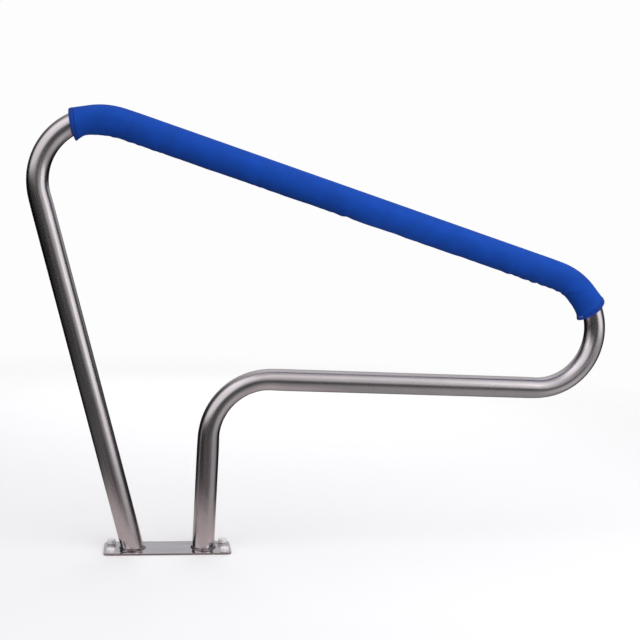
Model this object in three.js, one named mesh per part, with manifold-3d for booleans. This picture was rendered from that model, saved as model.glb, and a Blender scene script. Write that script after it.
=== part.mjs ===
// A base-plate-mounted pool handrail: one bent stainless tube in a closed loop, welded to a plate,
// with a zip-on grip sleeve on its top rail, and the lag screws, anchors and caps that fix it down.
// Millimetres, +Z up. The origin is the centre of the plate's underside, on the deck. The loop lies
// in the XZ plane: the rail slopes down towards +X, and the zip faces +Y, away from the hand.

import * as THREE from 'three';
import { mergeVertices } from 'three/addons/utils/BufferGeometryUtils.js';
import Module from 'manifold-3d';

const wasm = await Module();
wasm.setup();

// ---- Driving dimensions ----------------------------------------------------------------------

const GAP = 0.3; // between pieces that touch in the real object

// Tube: 1.9 in stainless, all three bends made on one die.
const TUBE_RADIUS = 24.15;
const TUBE_WALL = 1.5;
const BEND_RADIUS = 133.5;
const LEANING_FOOT_X = -75;
const LEANING_ANGLE = 15.35; // of the leaning leg, from the vertical
const CORNER_HEIGHT = 995; // where the lines of the leaning leg and the rail cross
const RAIL_SLOPE = 16.75;
const RAIL_END_X = 862.2; // where the rail runs into the nose bend
const RETURN_SLOPE = 1.0; // of the lower return rail
const UPRIGHT_FOOT_X = 77.7;
const UPRIGHT_ANGLE = 1.2; // of the upright leg, from the vertical

// Base plate.
const PLATE_LENGTH = 275;
const PLATE_WIDTH = 90;
const PLATE_THICKNESS = 4;
const PLATE_CORNER = 10;
const HOLE_SPACING_X = 245.5;
const HOLE_SPACING_Y = 65.5;
const HOLE_RADIUS = 4.5;
const WELD_LEG = 4.5;
const WELD_ROOT = 4; // how far its ring runs in behind the tube's face before it is cut to the leg

// Grip sleeve: its section hangs as an egg round the tube, snug on top and slack below.
const SLEEVE_TOP = 27.5;
const SLEEVE_SIDE = 31;
const SLEEVE_BOTTOM = 37;
const SLEEVE_THICKNESS = 3;
const SLEEVE_START = 28.8; // heading of the centre line at the upper end, in degrees above level
const SLEEVE_END = -68.4; // heading at the nose end
const HEM_WIDTH = 9;
const HEM_PROUD = 0.6;

// Zip: angles round the sleeve's section, from straight up towards +Y.
const ZIP_ANGLE = 100;
const SLIT_HALF = 11;
const TAPE_WIDTH = 20;
const TAPE_FROM = 1.8;
const TAPE_THICKNESS = 0.8;
const TAPE_SHORT = 1; // the tapes end this far inside the nose hem's edge
const TAPE_DEPTH = SLEEVE_THICKNESS + 2 * GAP; // below the sleeve's face
const COIL_FROM = 1.7;
const COIL_TO = 5.1;
const COIL_DEPTH = 0.6;
const COIL_HEIGHT = 2.4;
const COIL_START = 12; // from the tapes' upper ends, past the pin
const COIL_SHORT = 3; // from the top stops' middle
const ZIP_START_LAP = 16; // the zip's parts at the upper end, measured from the hem's edge
const ZIP_STOP_AT = 8; // the top stops' middle, from the nose hem's edge
const SLIDER_AT = 20; // the closed slider's middle, from the nose hem's edge

// Fixings.
const SCREW_RADIUS = 4;
const SCREW_CORE = 3;
const SCREW_SHANK = 3.7;
const SCREW_LENGTH = 60;
const SCREW_THREAD = 36;
const SCREW_POINT = 4;
const THREAD_PITCH = 3.6;
const HEAD_ACROSS = 13;
const HEAD_HEIGHT = 5.3;
const HEAD_CORNER = 8.2; // outside the hexagon's corners
const HEAD_FACE = 5.8; // the round face left on top by the chamfer
const HEAD_CHAMFER = 1.3;
const ANCHOR_RADIUS = 6;
const ANCHOR_TAPER = 0.7;
const ANCHOR_TIP = 5;
const ANCHOR_RIBS = 8;
const ANCHOR_RIB = 0.6;
const ANCHOR_COLLAR = 5.4;
const ANCHOR_BORE = 4.35;
const ANCHOR_LENGTH = 62;
const ANCHOR_COLLAR_LENGTH = 16;
const ANCHOR_RECESS = 2.5; // the anchor's mouth sits this far below the deck
const ANCHOR_SLOT = 1.2;
const CAP_ACROSS = 18;
const CAP_WALL = 1.6;
const CAP_HEIGHT = 9;
const CAP_CORNER = 11;
const CAP_FACE = 8.4;
const CAP_CHAMFER = 1.6;

// How finely round stretches are cut.
const BEND_STEP = 9;
const TUBE_SIDES = 24;
const SLEEVE_SIDES = 22;

const DEG = Math.PI / 180;

// ---- Materials -------------------------------------------------------------------------------

const SATIN_STEEL = new THREE.MeshStandardMaterial({ color: '#a8a09e', roughness: 0.3, metalness: 1 });
const MIRROR_STEEL = new THREE.MeshStandardMaterial({ color: '#aaa6ad', roughness: 0.1, metalness: 1 });
const WELD_STEEL = new THREE.MeshStandardMaterial({ color: '#98908c', roughness: 0.35, metalness: 1 });
const BLUE_NEOPRENE = new THREE.MeshStandardMaterial({ color: '#1c4cae', roughness: 0.85, metalness: 0 });
const BLUE_BINDING = new THREE.MeshStandardMaterial({ color: '#183f98', roughness: 0.85, metalness: 0 });
const ZIP_TAPE = new THREE.MeshStandardMaterial({ color: '#14265c', roughness: 0.9, metalness: 0 });
const ZIP_COIL = new THREE.MeshStandardMaterial({ color: '#16224a', roughness: 0.5, metalness: 0 });
const ZIP_METAL = new THREE.MeshStandardMaterial({ color: '#8b8d92', roughness: 0.35, metalness: 1 });
const SCREW_STEEL = new THREE.MeshStandardMaterial({ color: '#9c9791', roughness: 0.35, metalness: 1 });
const BLUE_ZINC = new THREE.MeshStandardMaterial({ color: '#8fa9b5', roughness: 0.4, metalness: 1 });
const WHITE_PLASTIC = new THREE.MeshStandardMaterial({ color: '#e9e9e7', roughness: 0.4, metalness: 0 });

// ---- Solids: joining and cutting -------------------------------------------------------------

function solid(geometry) {
  const bare = geometry.index ? geometry.toNonIndexed() : geometry.clone();
  bare.deleteAttribute('normal');
  bare.deleteAttribute('uv');
  const merged = mergeVertices(bare, 1e-4);
  const mesh = new wasm.Mesh({
    numProp: 3,
    vertProperties: new Float32Array(merged.attributes.position.array),
    triVerts: new Uint32Array(merged.index.array),
  });
  return new wasm.Manifold(mesh);
}

function geometryOf(manifold) {
  const mesh = manifold.getMesh();
  const geometry = new THREE.BufferGeometry();
  geometry.setAttribute('position', new THREE.BufferAttribute(new Float32Array(mesh.vertProperties), 3));
  geometry.setIndex(new THREE.BufferAttribute(new Uint32Array(mesh.triVerts), 1));
  return geometry;
}

// A box between two corners.
function box(low, high) {
  const size = high.map((value, i) => value - low[i]);
  const geometry = new THREE.BoxGeometry(...size);
  geometry.translate(...low.map((value, i) => value + size[i] / 2));
  return geometry;
}

// A flat outline, extruded upwards from a height.
function slab(shape, from, to, curveSegments = 8) {
  const settings = { depth: to - from, bevelEnabled: false, curveSegments };
  const geometry = new THREE.ExtrudeGeometry(shape, settings);
  geometry.translate(0, 0, from);
  return geometry;
}

function roundedRectangle(length, width, radius) {
  const x = length / 2;
  const y = width / 2;
  const shape = new THREE.Shape();
  shape.moveTo(-x + radius, -y);
  shape.absarc(x - radius, -y + radius, radius, -Math.PI / 2, 0);
  shape.absarc(x - radius, y - radius, radius, 0, Math.PI / 2);
  shape.absarc(-x + radius, y - radius, radius, Math.PI / 2, Math.PI);
  shape.absarc(-x + radius, -y + radius, radius, Math.PI, 1.5 * Math.PI);
  return shape;
}

function hexagon(acrossFlats) {
  const radius = acrossFlats / Math.sqrt(3);
  const corners = [0, 1, 2, 3, 4, 5].map((i) => {
    const angle = i * 60 * DEG;
    return new THREE.Vector2(radius * Math.cos(angle), radius * Math.sin(angle));
  });
  return new THREE.Shape(corners);
}

// ---- The rail's centre line ------------------------------------------------------------------
// Straights and bends in the XZ plane. A heading is the way the line runs, in degrees above +X.

const direction = (heading) => new THREE.Vector3(Math.cos(heading * DEG), 0, Math.sin(heading * DEG));

function straight(from, heading, length) {
  return {
    length,
    marks: [],
    at: (s) => ({ point: direction(heading).multiplyScalar(s).add(from), heading }),
  };
}

function bend(from, heading, turn) {
  const side = Math.sign(turn);
  const centre = direction(heading + side * 90).multiplyScalar(BEND_RADIUS).add(from);
  const length = Math.abs(turn) * DEG * BEND_RADIUS;
  const steps = Math.ceil(Math.abs(turn) / BEND_STEP);
  const at = (s) => {
    const now = heading + turn * (s / length);
    const point = direction(now - side * 90).multiplyScalar(BEND_RADIUS).add(centre);
    return { point, heading: now };
  };
  const marks = Array.from({ length: steps - 1 }, (_, i) => (length * (i + 1)) / steps);
  return { length, marks, at };
}

const tangentLength = (turn) => BEND_RADIUS * Math.tan((Math.abs(turn) * DEG) / 2);
const endOf = (piece) => piece.at(piece.length).point;

// Where two lines in the XZ plane cross, as a distance along the first.
function crossing(from, heading, through, otherHeading) {
  const along = direction(heading);
  const across = direction(otherHeading + 90);
  return through.clone().sub(from).dot(across) / along.dot(across);
}

const FOOT_OVERRUN = 14; // the legs run past the plate's face before they are cut to it
const LEG_HEADING = 90 + LEANING_ANGLE;
const RETURN_HEADING = -180 - RETURN_SLOPE;
const UPRIGHT_HEADING = -90 - UPRIGHT_ANGLE;
const TOP_TURN = -RAIL_SLOPE - LEG_HEADING;
const NOSE_TURN = RETURN_HEADING + RAIL_SLOPE;
const ELBOW_TURN = UPRIGHT_HEADING - RETURN_HEADING;

const leaningFoot = new THREE.Vector3(LEANING_FOOT_X, 0, 0);
const uprightFoot = new THREE.Vector3(UPRIGHT_FOOT_X, 0, 0);
const overrun = direction(LEG_HEADING).multiplyScalar(-FOOT_OVERRUN);
const legLength = CORNER_HEIGHT / Math.cos(LEANING_ANGLE * DEG) - tangentLength(TOP_TURN);

const leaningLeg = straight(leaningFoot.clone().add(overrun), LEG_HEADING, legLength + FOOT_OVERRUN);
const topBend = bend(endOf(leaningLeg), LEG_HEADING, TOP_TURN);
const railStart = endOf(topBend);
const railLength = (RAIL_END_X - railStart.x) / Math.cos(RAIL_SLOPE * DEG);
const rail = straight(railStart, -RAIL_SLOPE, railLength);
const noseBend = bend(endOf(rail), -RAIL_SLOPE, NOSE_TURN);
const returnStart = endOf(noseBend);
const returnReach = crossing(returnStart, RETURN_HEADING, uprightFoot, UPRIGHT_HEADING);
const returnRail = straight(returnStart, RETURN_HEADING, returnReach - tangentLength(ELBOW_TURN));
const elbow = bend(endOf(returnRail), RETURN_HEADING, ELBOW_TURN);
const uprightLength = endOf(elbow).distanceTo(uprightFoot) + FOOT_OVERRUN;
const uprightLeg = straight(endOf(elbow), UPRIGHT_HEADING, uprightLength);

const PIECES = [leaningLeg, topBend, rail, noseBend, returnRail, elbow, uprightLeg];
const TOTAL_LENGTH = PIECES.reduce((sum, piece) => sum + piece.length, 0);
const startOf = (piece) => PIECES.slice(0, PIECES.indexOf(piece)).reduce((sum, p) => sum + p.length, 0);

function stationAt(s) {
  let left = s;
  for (const piece of PIECES) {
    if (left <= piece.length || piece === uprightLeg) {
      return piece.at(left);
    }
    left -= piece.length;
  }
}

// How far along the centre line a bend reaches a heading.
function lengthAtHeading(piece, from, turn, heading) {
  return startOf(piece) + (piece.length * (heading - from)) / turn;
}

// A stretch of the centre line, as a path for ExtrudeGeometry: its sections stand at the ends, at
// the ends of the straights and at every step of the bends. A section's x is +Y of the part, and
// its y is the outer side of the loop.
class RailRun extends THREE.Curve {
  constructor(from, to) {
    super();
    const marks = PIECES.flatMap((piece) => [0, ...piece.marks].map((mark) => startOf(piece) + mark));
    const inside = marks.filter((mark) => mark > from + 0.5 && mark < to - 0.5);
    this.stations = [from, ...inside, to].map(stationAt);
    this.steps = this.stations.length - 1;
  }

  getSpacedPoints() {
    return this.stations.map((station) => station.point);
  }

  computeFrenetFrames() {
    const tangents = this.stations.map((station) => direction(station.heading));
    const normals = tangents.map(() => new THREE.Vector3(0, 1, 0));
    const binormals = tangents.map((tangent, i) => tangent.clone().cross(normals[i]));
    return { tangents, normals, binormals };
  }
}

function sweep(shape, from, to, curveSegments = 12) {
  const extrudePath = new RailRun(from, to);
  return new THREE.ExtrudeGeometry(shape, { steps: extrudePath.steps, extrudePath, curveSegments });
}

// ---- Tube, plate and welds -------------------------------------------------------------------

function belowPlateFace() {
  const reach = PLATE_LENGTH;
  return solid(box([-reach, -reach, -reach], [reach, reach, PLATE_THICKNESS + GAP]));
}

function tubeGeometry() {
  const section = new THREE.Shape().absarc(0, 0, TUBE_RADIUS, 0, 2 * Math.PI);
  section.holes.push(new THREE.Path().absarc(0, 0, TUBE_RADIUS - TUBE_WALL, 0, 2 * Math.PI, true));
  const whole = solid(sweep(section, 0, TOTAL_LENGTH, TUBE_SIDES / 2));
  return geometryOf(whole.subtract(belowPlateFace()));
}

function fixingPlaces() {
  const x = HOLE_SPACING_X / 2;
  const y = HOLE_SPACING_Y / 2;
  return [[-x, -y], [x, -y], [x, y], [-x, y]];
}

function plateGeometry() {
  const outline = roundedRectangle(PLATE_LENGTH, PLATE_WIDTH, PLATE_CORNER);
  for (const [x, y] of fixingPlaces()) {
    outline.holes.push(new THREE.Path().absarc(x, y, HOLE_RADIUS, 0, 2 * Math.PI, true));
  }
  return slab(outline, 0, PLATE_THICKNESS, 6);
}

// A fillet weld round a leg that leans towards -X: a low ring with a hollow face, cut to the leg.
function weldGeometry(footX, lean) {
  const low = PLATE_THICKNESS + GAP;
  const profile = [
    [TUBE_RADIUS - WELD_ROOT, 0],
    [TUBE_RADIUS + WELD_LEG, 0],
    [TUBE_RADIUS + WELD_LEG * 0.55, WELD_LEG * 0.35],
    [TUBE_RADIUS + WELD_LEG * 0.2, WELD_LEG],
    [TUBE_RADIUS - WELD_ROOT, WELD_LEG],
  ].map(([r, z]) => new THREE.Vector2(r, z));
  const ring = new THREE.LatheGeometry([...profile, profile[0].clone()], TUBE_SIDES);
  ring.rotateX(Math.PI / 2);
  ring.scale(1 / Math.cos(lean * DEG), 1, 1);
  ring.translate(footX - low * Math.tan(lean * DEG), 0, low);

  const legRadius = TUBE_RADIUS + GAP;
  const leg = new THREE.CylinderGeometry(legRadius, legRadius, 5 * TUBE_RADIUS, TUBE_SIDES);
  leg.rotateX(Math.PI / 2);
  leg.rotateY(-lean * DEG);
  leg.translate(footX, 0, 0);
  return geometryOf(solid(ring).subtract(solid(leg)));
}

// ---- Grip sleeve and zip ---------------------------------------------------------------------

// A point of the sleeve's section, some way in from its face.
function sleevePoint(angle, depth) {
  const up = Math.cos(angle * DEG);
  const rear = Math.sin(angle * DEG);
  const drop = up > 0 ? SLEEVE_TOP : SLEEVE_BOTTOM;
  const outward = new THREE.Vector2(rear / SLEEVE_SIDE, up / drop).normalize();
  return new THREE.Vector2(SLEEVE_SIDE * rear, drop * up).addScaledVector(outward, -depth);
}

function outline(from, to, depth, sides) {
  return Array.from({ length: sides + 1 }, (_, i) => sleevePoint(from + ((to - from) * i) / sides, depth));
}

// A strip of the section between two angles and two depths.
function strip(from, to, shallow, deep, sides) {
  const back = outline(from, to, deep, sides).reverse();
  return new THREE.Shape([...outline(from, to, shallow, sides), ...back]);
}

const upperEnd = lengthAtHeading(topBend, LEG_HEADING, TOP_TURN, SLEEVE_START);
const noseEnd = lengthAtHeading(noseBend, -RAIL_SLOPE, NOSE_TURN, SLEEVE_END);
const sleeveFrom = ZIP_ANGLE + SLIT_HALF;
const sleeveTo = ZIP_ANGLE + 360 - SLIT_HALF;

function sleeveGeometry() {
  const section = strip(sleeveFrom, sleeveTo, 0, SLEEVE_THICKNESS, SLEEVE_SIDES);
  return sweep(section, upperEnd + HEM_WIDTH + GAP, noseEnd - HEM_WIDTH - GAP);
}

function hemGeometry(from) {
  const section = strip(sleeveFrom, sleeveTo, -HEM_PROUD, SLEEVE_THICKNESS, SLEEVE_SIDES);
  return sweep(section, from, from + HEM_WIDTH);
}

const zipFrom = upperEnd + ZIP_START_LAP;
const tapeDeep = TAPE_DEPTH + TAPE_THICKNESS;
const coilDeep = COIL_DEPTH + COIL_HEIGHT;

function tapeGeometry(side) {
  const from = ZIP_ANGLE + side * TAPE_FROM;
  const section = strip(from, ZIP_ANGLE + side * TAPE_WIDTH, TAPE_DEPTH, tapeDeep, 3);
  return sweep(section, zipFrom, noseEnd - TAPE_SHORT);
}

function coilGeometry(side) {
  const from = ZIP_ANGLE + side * COIL_FROM;
  const section = strip(from, ZIP_ANGLE + side * COIL_TO, COIL_DEPTH, coilDeep, 1);
  return sweep(section, zipFrom + COIL_START, noseEnd - ZIP_STOP_AT - COIL_SHORT);
}

// Puts a piece made on the zip into its place: its x runs along the zip towards the nose, its y
// across it and its z out of the sleeve, with z = 0 on the outer face of the tapes.
function placeOnZip(mesh, s) {
  const station = stationAt(s);
  const along = direction(station.heading);
  const rear = new THREE.Vector3(0, 1, 0);
  const outer = along.clone().cross(rear);
  const face = sleevePoint(ZIP_ANGLE, TAPE_DEPTH);
  const step = sleevePoint(ZIP_ANGLE, 0).sub(face).normalize();
  const out = rear.clone().multiplyScalar(step.x).addScaledVector(outer, step.y);
  const across = out.clone().cross(along);
  mesh.position.copy(station.point).addScaledVector(rear, face.x).addScaledVector(outer, face.y);
  mesh.setRotationFromMatrix(new THREE.Matrix4().makeBasis(along, across, out));
  return mesh;
}

// The slider, from its middle: x towards the nose, z above the tapes' outer face.
const SLIDER = {
  length: 12,
  noseHalf: 4.9,
  tailHalf: 4.3,
  flangeInner: 3.9,
  wingLow: 3.4,
  wingHigh: 4.6,
  flangeLow: 0.6,
  lowerHigh: -1.5,
  lowerLow: -2.5,
  postHalf: 0.25,
  postFrom: 2,
  postTo: 5,
  crownHalf: 1.2,
  crownReach: 3.5,
  crownWall: 1.2,
  pivot: 5.6,
  crownUnder: 6.6,
  crownTop: 7.6,
  shoulder: 3,
  lap: 0.5, // how far its solids run into each other
};

function sliderWing() {
  const half = SLIDER.length / 2;
  const { noseHalf, tailHalf, shoulder } = SLIDER;
  const shape = new THREE.Shape();
  shape.moveTo(-half, -tailHalf);
  shape.lineTo(half - shoulder, -noseHalf);
  shape.quadraticCurveTo(half, -noseHalf, half, 0);
  shape.quadraticCurveTo(half, noseHalf, half - shoulder, noseHalf);
  shape.lineTo(-half, tailHalf);
  return shape;
}

// Two wings joined by a post at the nose, flanges down the upper wing's sides, and a crown over it.
function sliderGeometry() {
  const half = SLIDER.length / 2;
  const wing = sliderWing();
  const { crownReach, crownHalf, crownWall, crownUnder, crownTop } = SLIDER;
  const { postFrom, postTo, postHalf, flangeInner, wingLow, wingHigh, lowerHigh, lap } = SLIDER;
  const channel = box([-half - lap, -flangeInner, -wingLow], [half + lap, flangeInner, wingLow]);
  const upper = solid(slab(wing, SLIDER.flangeLow, wingHigh)).subtract(solid(channel));
  const lower = solid(slab(wing, SLIDER.lowerLow, lowerHigh));
  const post = solid(box([postFrom, -postHalf, lowerHigh - lap], [postTo, postHalf, wingLow + lap]));
  const arch = solid(box([-crownReach, -crownHalf, wingHigh - lap], [crownReach, crownHalf, crownTop]));
  const eyeHalf = crownReach - crownWall;
  const eye = box([-eyeHalf, -2 * crownHalf, wingHigh], [eyeHalf, 2 * crownHalf, crownUnder]);
  const crown = arch.subtract(solid(eye));
  return geometryOf(upper.add(lower).add(post).add(crown));
}

// The pull tab, drawn with its hinge bar on the origin: a bar through the crown, two arms past it,
// and a plate with a grip hole.
const TAB_LENGTH = 25;
const TAB_THICKNESS = 1;
const TAB_BAR = 0.5;
const TAB_HALF = 2.9;
const TAB_END_RADIUS = 3.4;
const TAB_EYE_HALF = 1.6;
const TAB_EYE_END = 5.2;
const TAB_GRIP_RADIUS = 1.5;
const TAB_GRIP_AT = 20;

function tabGeometry() {
  const endAt = TAB_LENGTH - TAB_END_RADIUS;
  const shape = new THREE.Shape();
  shape.moveTo(-TAB_BAR, -TAB_HALF);
  shape.lineTo(endAt, -TAB_END_RADIUS);
  shape.absarc(endAt, 0, TAB_END_RADIUS, -Math.PI / 2, Math.PI / 2);
  shape.lineTo(-TAB_BAR, TAB_HALF);
  const eye = new THREE.Path();
  eye.moveTo(TAB_BAR, -TAB_EYE_HALF);
  eye.lineTo(TAB_BAR, TAB_EYE_HALF);
  eye.lineTo(TAB_EYE_END, TAB_EYE_HALF);
  eye.lineTo(TAB_EYE_END, -TAB_EYE_HALF);
  const grip = new THREE.Path().absarc(TAB_GRIP_AT, 0, TAB_GRIP_RADIUS, 0, 2 * Math.PI, true);
  shape.holes.push(eye, grip);
  return slab(shape, -TAB_THICKNESS / 2, TAB_THICKNESS / 2, 6);
}

// The tab hangs straight down from the slider, just clear of the sleeve.
const TAB_REST_LIFT = 4.9;

// One clip round the edge of a tape, which the slider can't pass: a wall beside the zip's middle
// and two jaws, over and under the tape.
const STOP_WALL_FROM = 0.35;
const STOP_WALL = 0.3;
const STOP_REACH = 3.4;
const STOP_HALF = 2;
const STOP_LOW = -1.9;
const STOP_JAW_LOW = -1.15;
const STOP_JAW_HIGH = 0.3;
const STOP_HIGH = 2.6;

function stopGeometry(side) {
  const inner = STOP_WALL_FROM + STOP_WALL;
  const corners = [
    [STOP_WALL_FROM, STOP_LOW],
    [STOP_REACH, STOP_LOW],
    [STOP_REACH, STOP_JAW_LOW],
    [inner, STOP_JAW_LOW],
    [inner, STOP_JAW_HIGH],
    [STOP_REACH, STOP_JAW_HIGH],
    [STOP_REACH, STOP_HIGH],
    [STOP_WALL_FROM, STOP_HIGH],
  ];
  const shape = new THREE.Shape(corners.map(([x, y]) => new THREE.Vector2(x, y)));
  const geometry = slab(shape, -STOP_HALF, STOP_HALF);
  geometry.rotateY(Math.PI / 2);
  geometry.rotateX(Math.PI / 2);
  if (side < 0) {
    geometry.rotateZ(Math.PI);
  }
  return geometry;
}

// The box at the zip's upper end, with a ledge for a thumb, and the pin that drops into it.
const RETAINER_SIZE = 8;
const RETAINER_CORNER = 1;
const RETAINER_LOW = -2;
const RETAINER_HIGH = 2.8;
const RETAINER_LEDGE = 0.5;
const PIN_RADIUS = 0.8;
const PIN_LENGTH = 10;
const PIN_ACROSS = 2;
const PIN_HEIGHT = 1.3;

function retainerGeometry() {
  const outline = roundedRectangle(RETAINER_SIZE, RETAINER_SIZE, RETAINER_CORNER);
  const body = solid(slab(outline, RETAINER_LOW, RETAINER_HIGH, 4));
  const ledge = box([-3, -3, RETAINER_HIGH - RETAINER_LEDGE], [-1, 3, RETAINER_HIGH + 1]);
  return geometryOf(body.subtract(solid(ledge)));
}

function pinGeometry() {
  const geometry = new THREE.CylinderGeometry(PIN_RADIUS, PIN_RADIUS, PIN_LENGTH, 10);
  geometry.rotateZ(Math.PI / 2);
  return geometry;
}

// ---- Fixings ---------------------------------------------------------------------------------

function lathed(profile, sides) {
  const geometry = new THREE.LatheGeometry(profile.map(([r, z]) => new THREE.Vector2(r, z)), sides);
  geometry.rotateX(Math.PI / 2);
  return geometry;
}

// A hex lag screw, drawn hanging from the underside of its head at z = 0.
function screwGeometry() {
  const threadTop = -SCREW_LENGTH + SCREW_THREAD;
  const profile = [[0, -SCREW_LENGTH], [SCREW_CORE / 2, -SCREW_LENGTH + SCREW_POINT]];
  const threadLow = -SCREW_LENGTH + SCREW_POINT + 1;
  const turns = Math.floor((threadTop - threadLow) / THREAD_PITCH);
  for (let i = 0; i < turns; i += 1) {
    const z = threadLow + i * THREAD_PITCH;
    profile.push([SCREW_CORE, z], [SCREW_RADIUS, z + THREAD_PITCH / 2]);
  }
  profile.push([SCREW_CORE, threadTop - 0.5], [SCREW_SHANK, threadTop], [SCREW_SHANK, 1], [0, 1]);
  const shank = solid(lathed(profile, 10));
  const chamfer = [[HEAD_CORNER, 0], [HEAD_CORNER, HEAD_HEIGHT - HEAD_CHAMFER], [HEAD_FACE, HEAD_HEIGHT]];
  const crown = solid(lathed([[0, 0], ...chamfer, [0, HEAD_HEIGHT]], 12));
  const head = solid(slab(hexagon(HEAD_ACROSS), 0, HEAD_HEIGHT)).intersect(crown);
  return geometryOf(head.add(shank));
}

// A metal anchor, drawn hanging from its mouth at z = 0: a plain collar, a ribbed body that
// narrows towards its end, and two crossed slots that let its four jaws spread.
function anchorGeometry() {
  const pitch = (ANCHOR_LENGTH - ANCHOR_COLLAR_LENGTH) / ANCHOR_RIBS;
  const outer = [[ANCHOR_COLLAR, 0], [ANCHOR_COLLAR, -ANCHOR_COLLAR_LENGTH]];
  for (let i = 0; i < ANCHOR_RIBS; i += 1) {
    const z = -ANCHOR_COLLAR_LENGTH - i * pitch;
    const radius = ANCHOR_RADIUS - (i / ANCHOR_RIBS) * ANCHOR_TAPER;
    outer.push([radius, z - pitch * 0.25], [radius - ANCHOR_RIB, z - pitch * 0.9]);
  }
  outer.push([ANCHOR_TIP, -ANCHOR_LENGTH]);
  const bore = [[ANCHOR_BORE, -ANCHOR_LENGTH], [ANCHOR_BORE, 0]];
  const sleeve = solid(lathed([...outer, ...bore, outer[0]].reverse(), 12));
  const half = ANCHOR_SLOT / 2;
  const across = ANCHOR_RADIUS + 2;
  const low = -ANCHOR_LENGTH - 1;
  const high = -ANCHOR_COLLAR_LENGTH * 0.6;
  const slotX = solid(box([-across, -half, low], [across, half, high]));
  const slotY = solid(box([-half, -across, low], [half, across, high]));
  return geometryOf(sleeve.subtract(slotX).subtract(slotY));
}

// A hexagonal cap over a screw head, drawn standing on z = 0, with its pocket open below.
function capGeometry() {
  const chamfer = [[CAP_CORNER, 0], [CAP_CORNER, CAP_HEIGHT - CAP_CHAMFER], [CAP_FACE, CAP_HEIGHT]];
  const dome = solid(lathed([[0, 0], ...chamfer, [0, CAP_HEIGHT]], 18));
  const body = solid(slab(hexagon(CAP_ACROSS), 0, CAP_HEIGHT)).intersect(dome);
  const pocket = solid(slab(hexagon(HEAD_ACROSS + 2 * GAP), -1, CAP_HEIGHT - CAP_WALL));
  return geometryOf(body.subtract(pocket));
}

// ---- Assembly --------------------------------------------------------------------------------

const handrail = new THREE.Group();

function add(name, geometry, material) {
  const mesh = new THREE.Mesh(geometry, material);
  mesh.name = name;
  handrail.add(mesh);
  return mesh;
}

add('handrail_tube', tubeGeometry(), SATIN_STEEL);
add('base_plate', plateGeometry(), MIRROR_STEEL);
add('leaning_leg_weld', weldGeometry(LEANING_FOOT_X, LEANING_ANGLE), WELD_STEEL);
add('upright_leg_weld', weldGeometry(UPRIGHT_FOOT_X, -UPRIGHT_ANGLE), WELD_STEEL);

add('grip_sleeve', sleeveGeometry(), BLUE_NEOPRENE);
add('upper_hem', hemGeometry(upperEnd), BLUE_BINDING);
add('nose_hem', hemGeometry(noseEnd - HEM_WIDTH), BLUE_BINDING);

// Seen from behind, the upper tape runs along the rail's outer side and the lower one inside it.
for (const [place, side] of [['upper', -1], ['lower', 1]]) {
  add(`zip_tape_${place}`, tapeGeometry(side), ZIP_TAPE);
  add(`zip_coil_${place}`, coilGeometry(side), ZIP_COIL);
  placeOnZip(add(`zip_top_stop_${place}`, stopGeometry(-side), ZIP_METAL), noseEnd - ZIP_STOP_AT);
}
placeOnZip(add('zip_retainer_box', retainerGeometry(), ZIP_METAL), zipFrom - RETAINER_SIZE / 2 - GAP);
const pin = placeOnZip(add('zip_insertion_pin', pinGeometry(), ZIP_METAL), zipFrom + COIL_START / 2);
pin.translateY(-PIN_ACROSS).translateZ(PIN_HEIGHT);
placeOnZip(add('zip_slider', sliderGeometry(), ZIP_METAL), noseEnd - SLIDER_AT);
const tab = placeOnZip(add('zip_pull_tab', tabGeometry(), ZIP_METAL), noseEnd - SLIDER_AT);
tab.translateZ(SLIDER.pivot).rotateY(-TAB_REST_LIFT * DEG);

fixingPlaces().forEach(([x, y], i) => {
  const seat = PLATE_THICKNESS + GAP;
  add(`lag_screw_${i + 1}`, screwGeometry(), SCREW_STEEL).position.set(x, y, seat);
  add(`anchor_${i + 1}`, anchorGeometry(), BLUE_ZINC).position.set(x, y, -ANCHOR_RECESS);
  add(`screw_cap_${i + 1}`, capGeometry(), WHITE_PLASTIC).position.set(x, y, seat);
});

export default handrail;
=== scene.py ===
"""Looks of a pool handrail: a bent stainless tube on a welded base plate, with a zip-on grip sleeve."""

import math
import random
from collections import namedtuple
from functools import partial

import bmesh
import bpy
import numpy as np
from mathutils import Matrix, Vector, noise


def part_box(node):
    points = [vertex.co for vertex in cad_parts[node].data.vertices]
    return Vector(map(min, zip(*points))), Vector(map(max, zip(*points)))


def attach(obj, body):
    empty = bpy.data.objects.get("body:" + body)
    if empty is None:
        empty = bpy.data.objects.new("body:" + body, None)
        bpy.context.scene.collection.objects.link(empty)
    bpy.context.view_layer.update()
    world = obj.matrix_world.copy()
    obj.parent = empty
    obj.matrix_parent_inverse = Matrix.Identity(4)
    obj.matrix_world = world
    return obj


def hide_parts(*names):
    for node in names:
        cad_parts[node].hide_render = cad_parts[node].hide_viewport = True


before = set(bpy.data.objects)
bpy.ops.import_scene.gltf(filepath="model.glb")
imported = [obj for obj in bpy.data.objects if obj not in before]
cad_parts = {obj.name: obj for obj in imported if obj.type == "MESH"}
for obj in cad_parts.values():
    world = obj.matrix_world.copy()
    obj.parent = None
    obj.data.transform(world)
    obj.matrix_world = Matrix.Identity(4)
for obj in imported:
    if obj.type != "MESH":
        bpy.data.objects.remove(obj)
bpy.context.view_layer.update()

bl_info = {
    "name": "Pool Handrail",
    "version": (1, 0, 0),
    "blender": (4, 5, 0),
    "location": "3D View > Sidebar > Handrail",
    "description": "Makes the fine surfaces, cloth, stitching and finishes of a pool handrail",
    "category": "Object",
}

MM = 0.001
DEG = math.pi / 180

# ---- Driving sizes, in metres and radians ----------------------------------------------------

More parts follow.
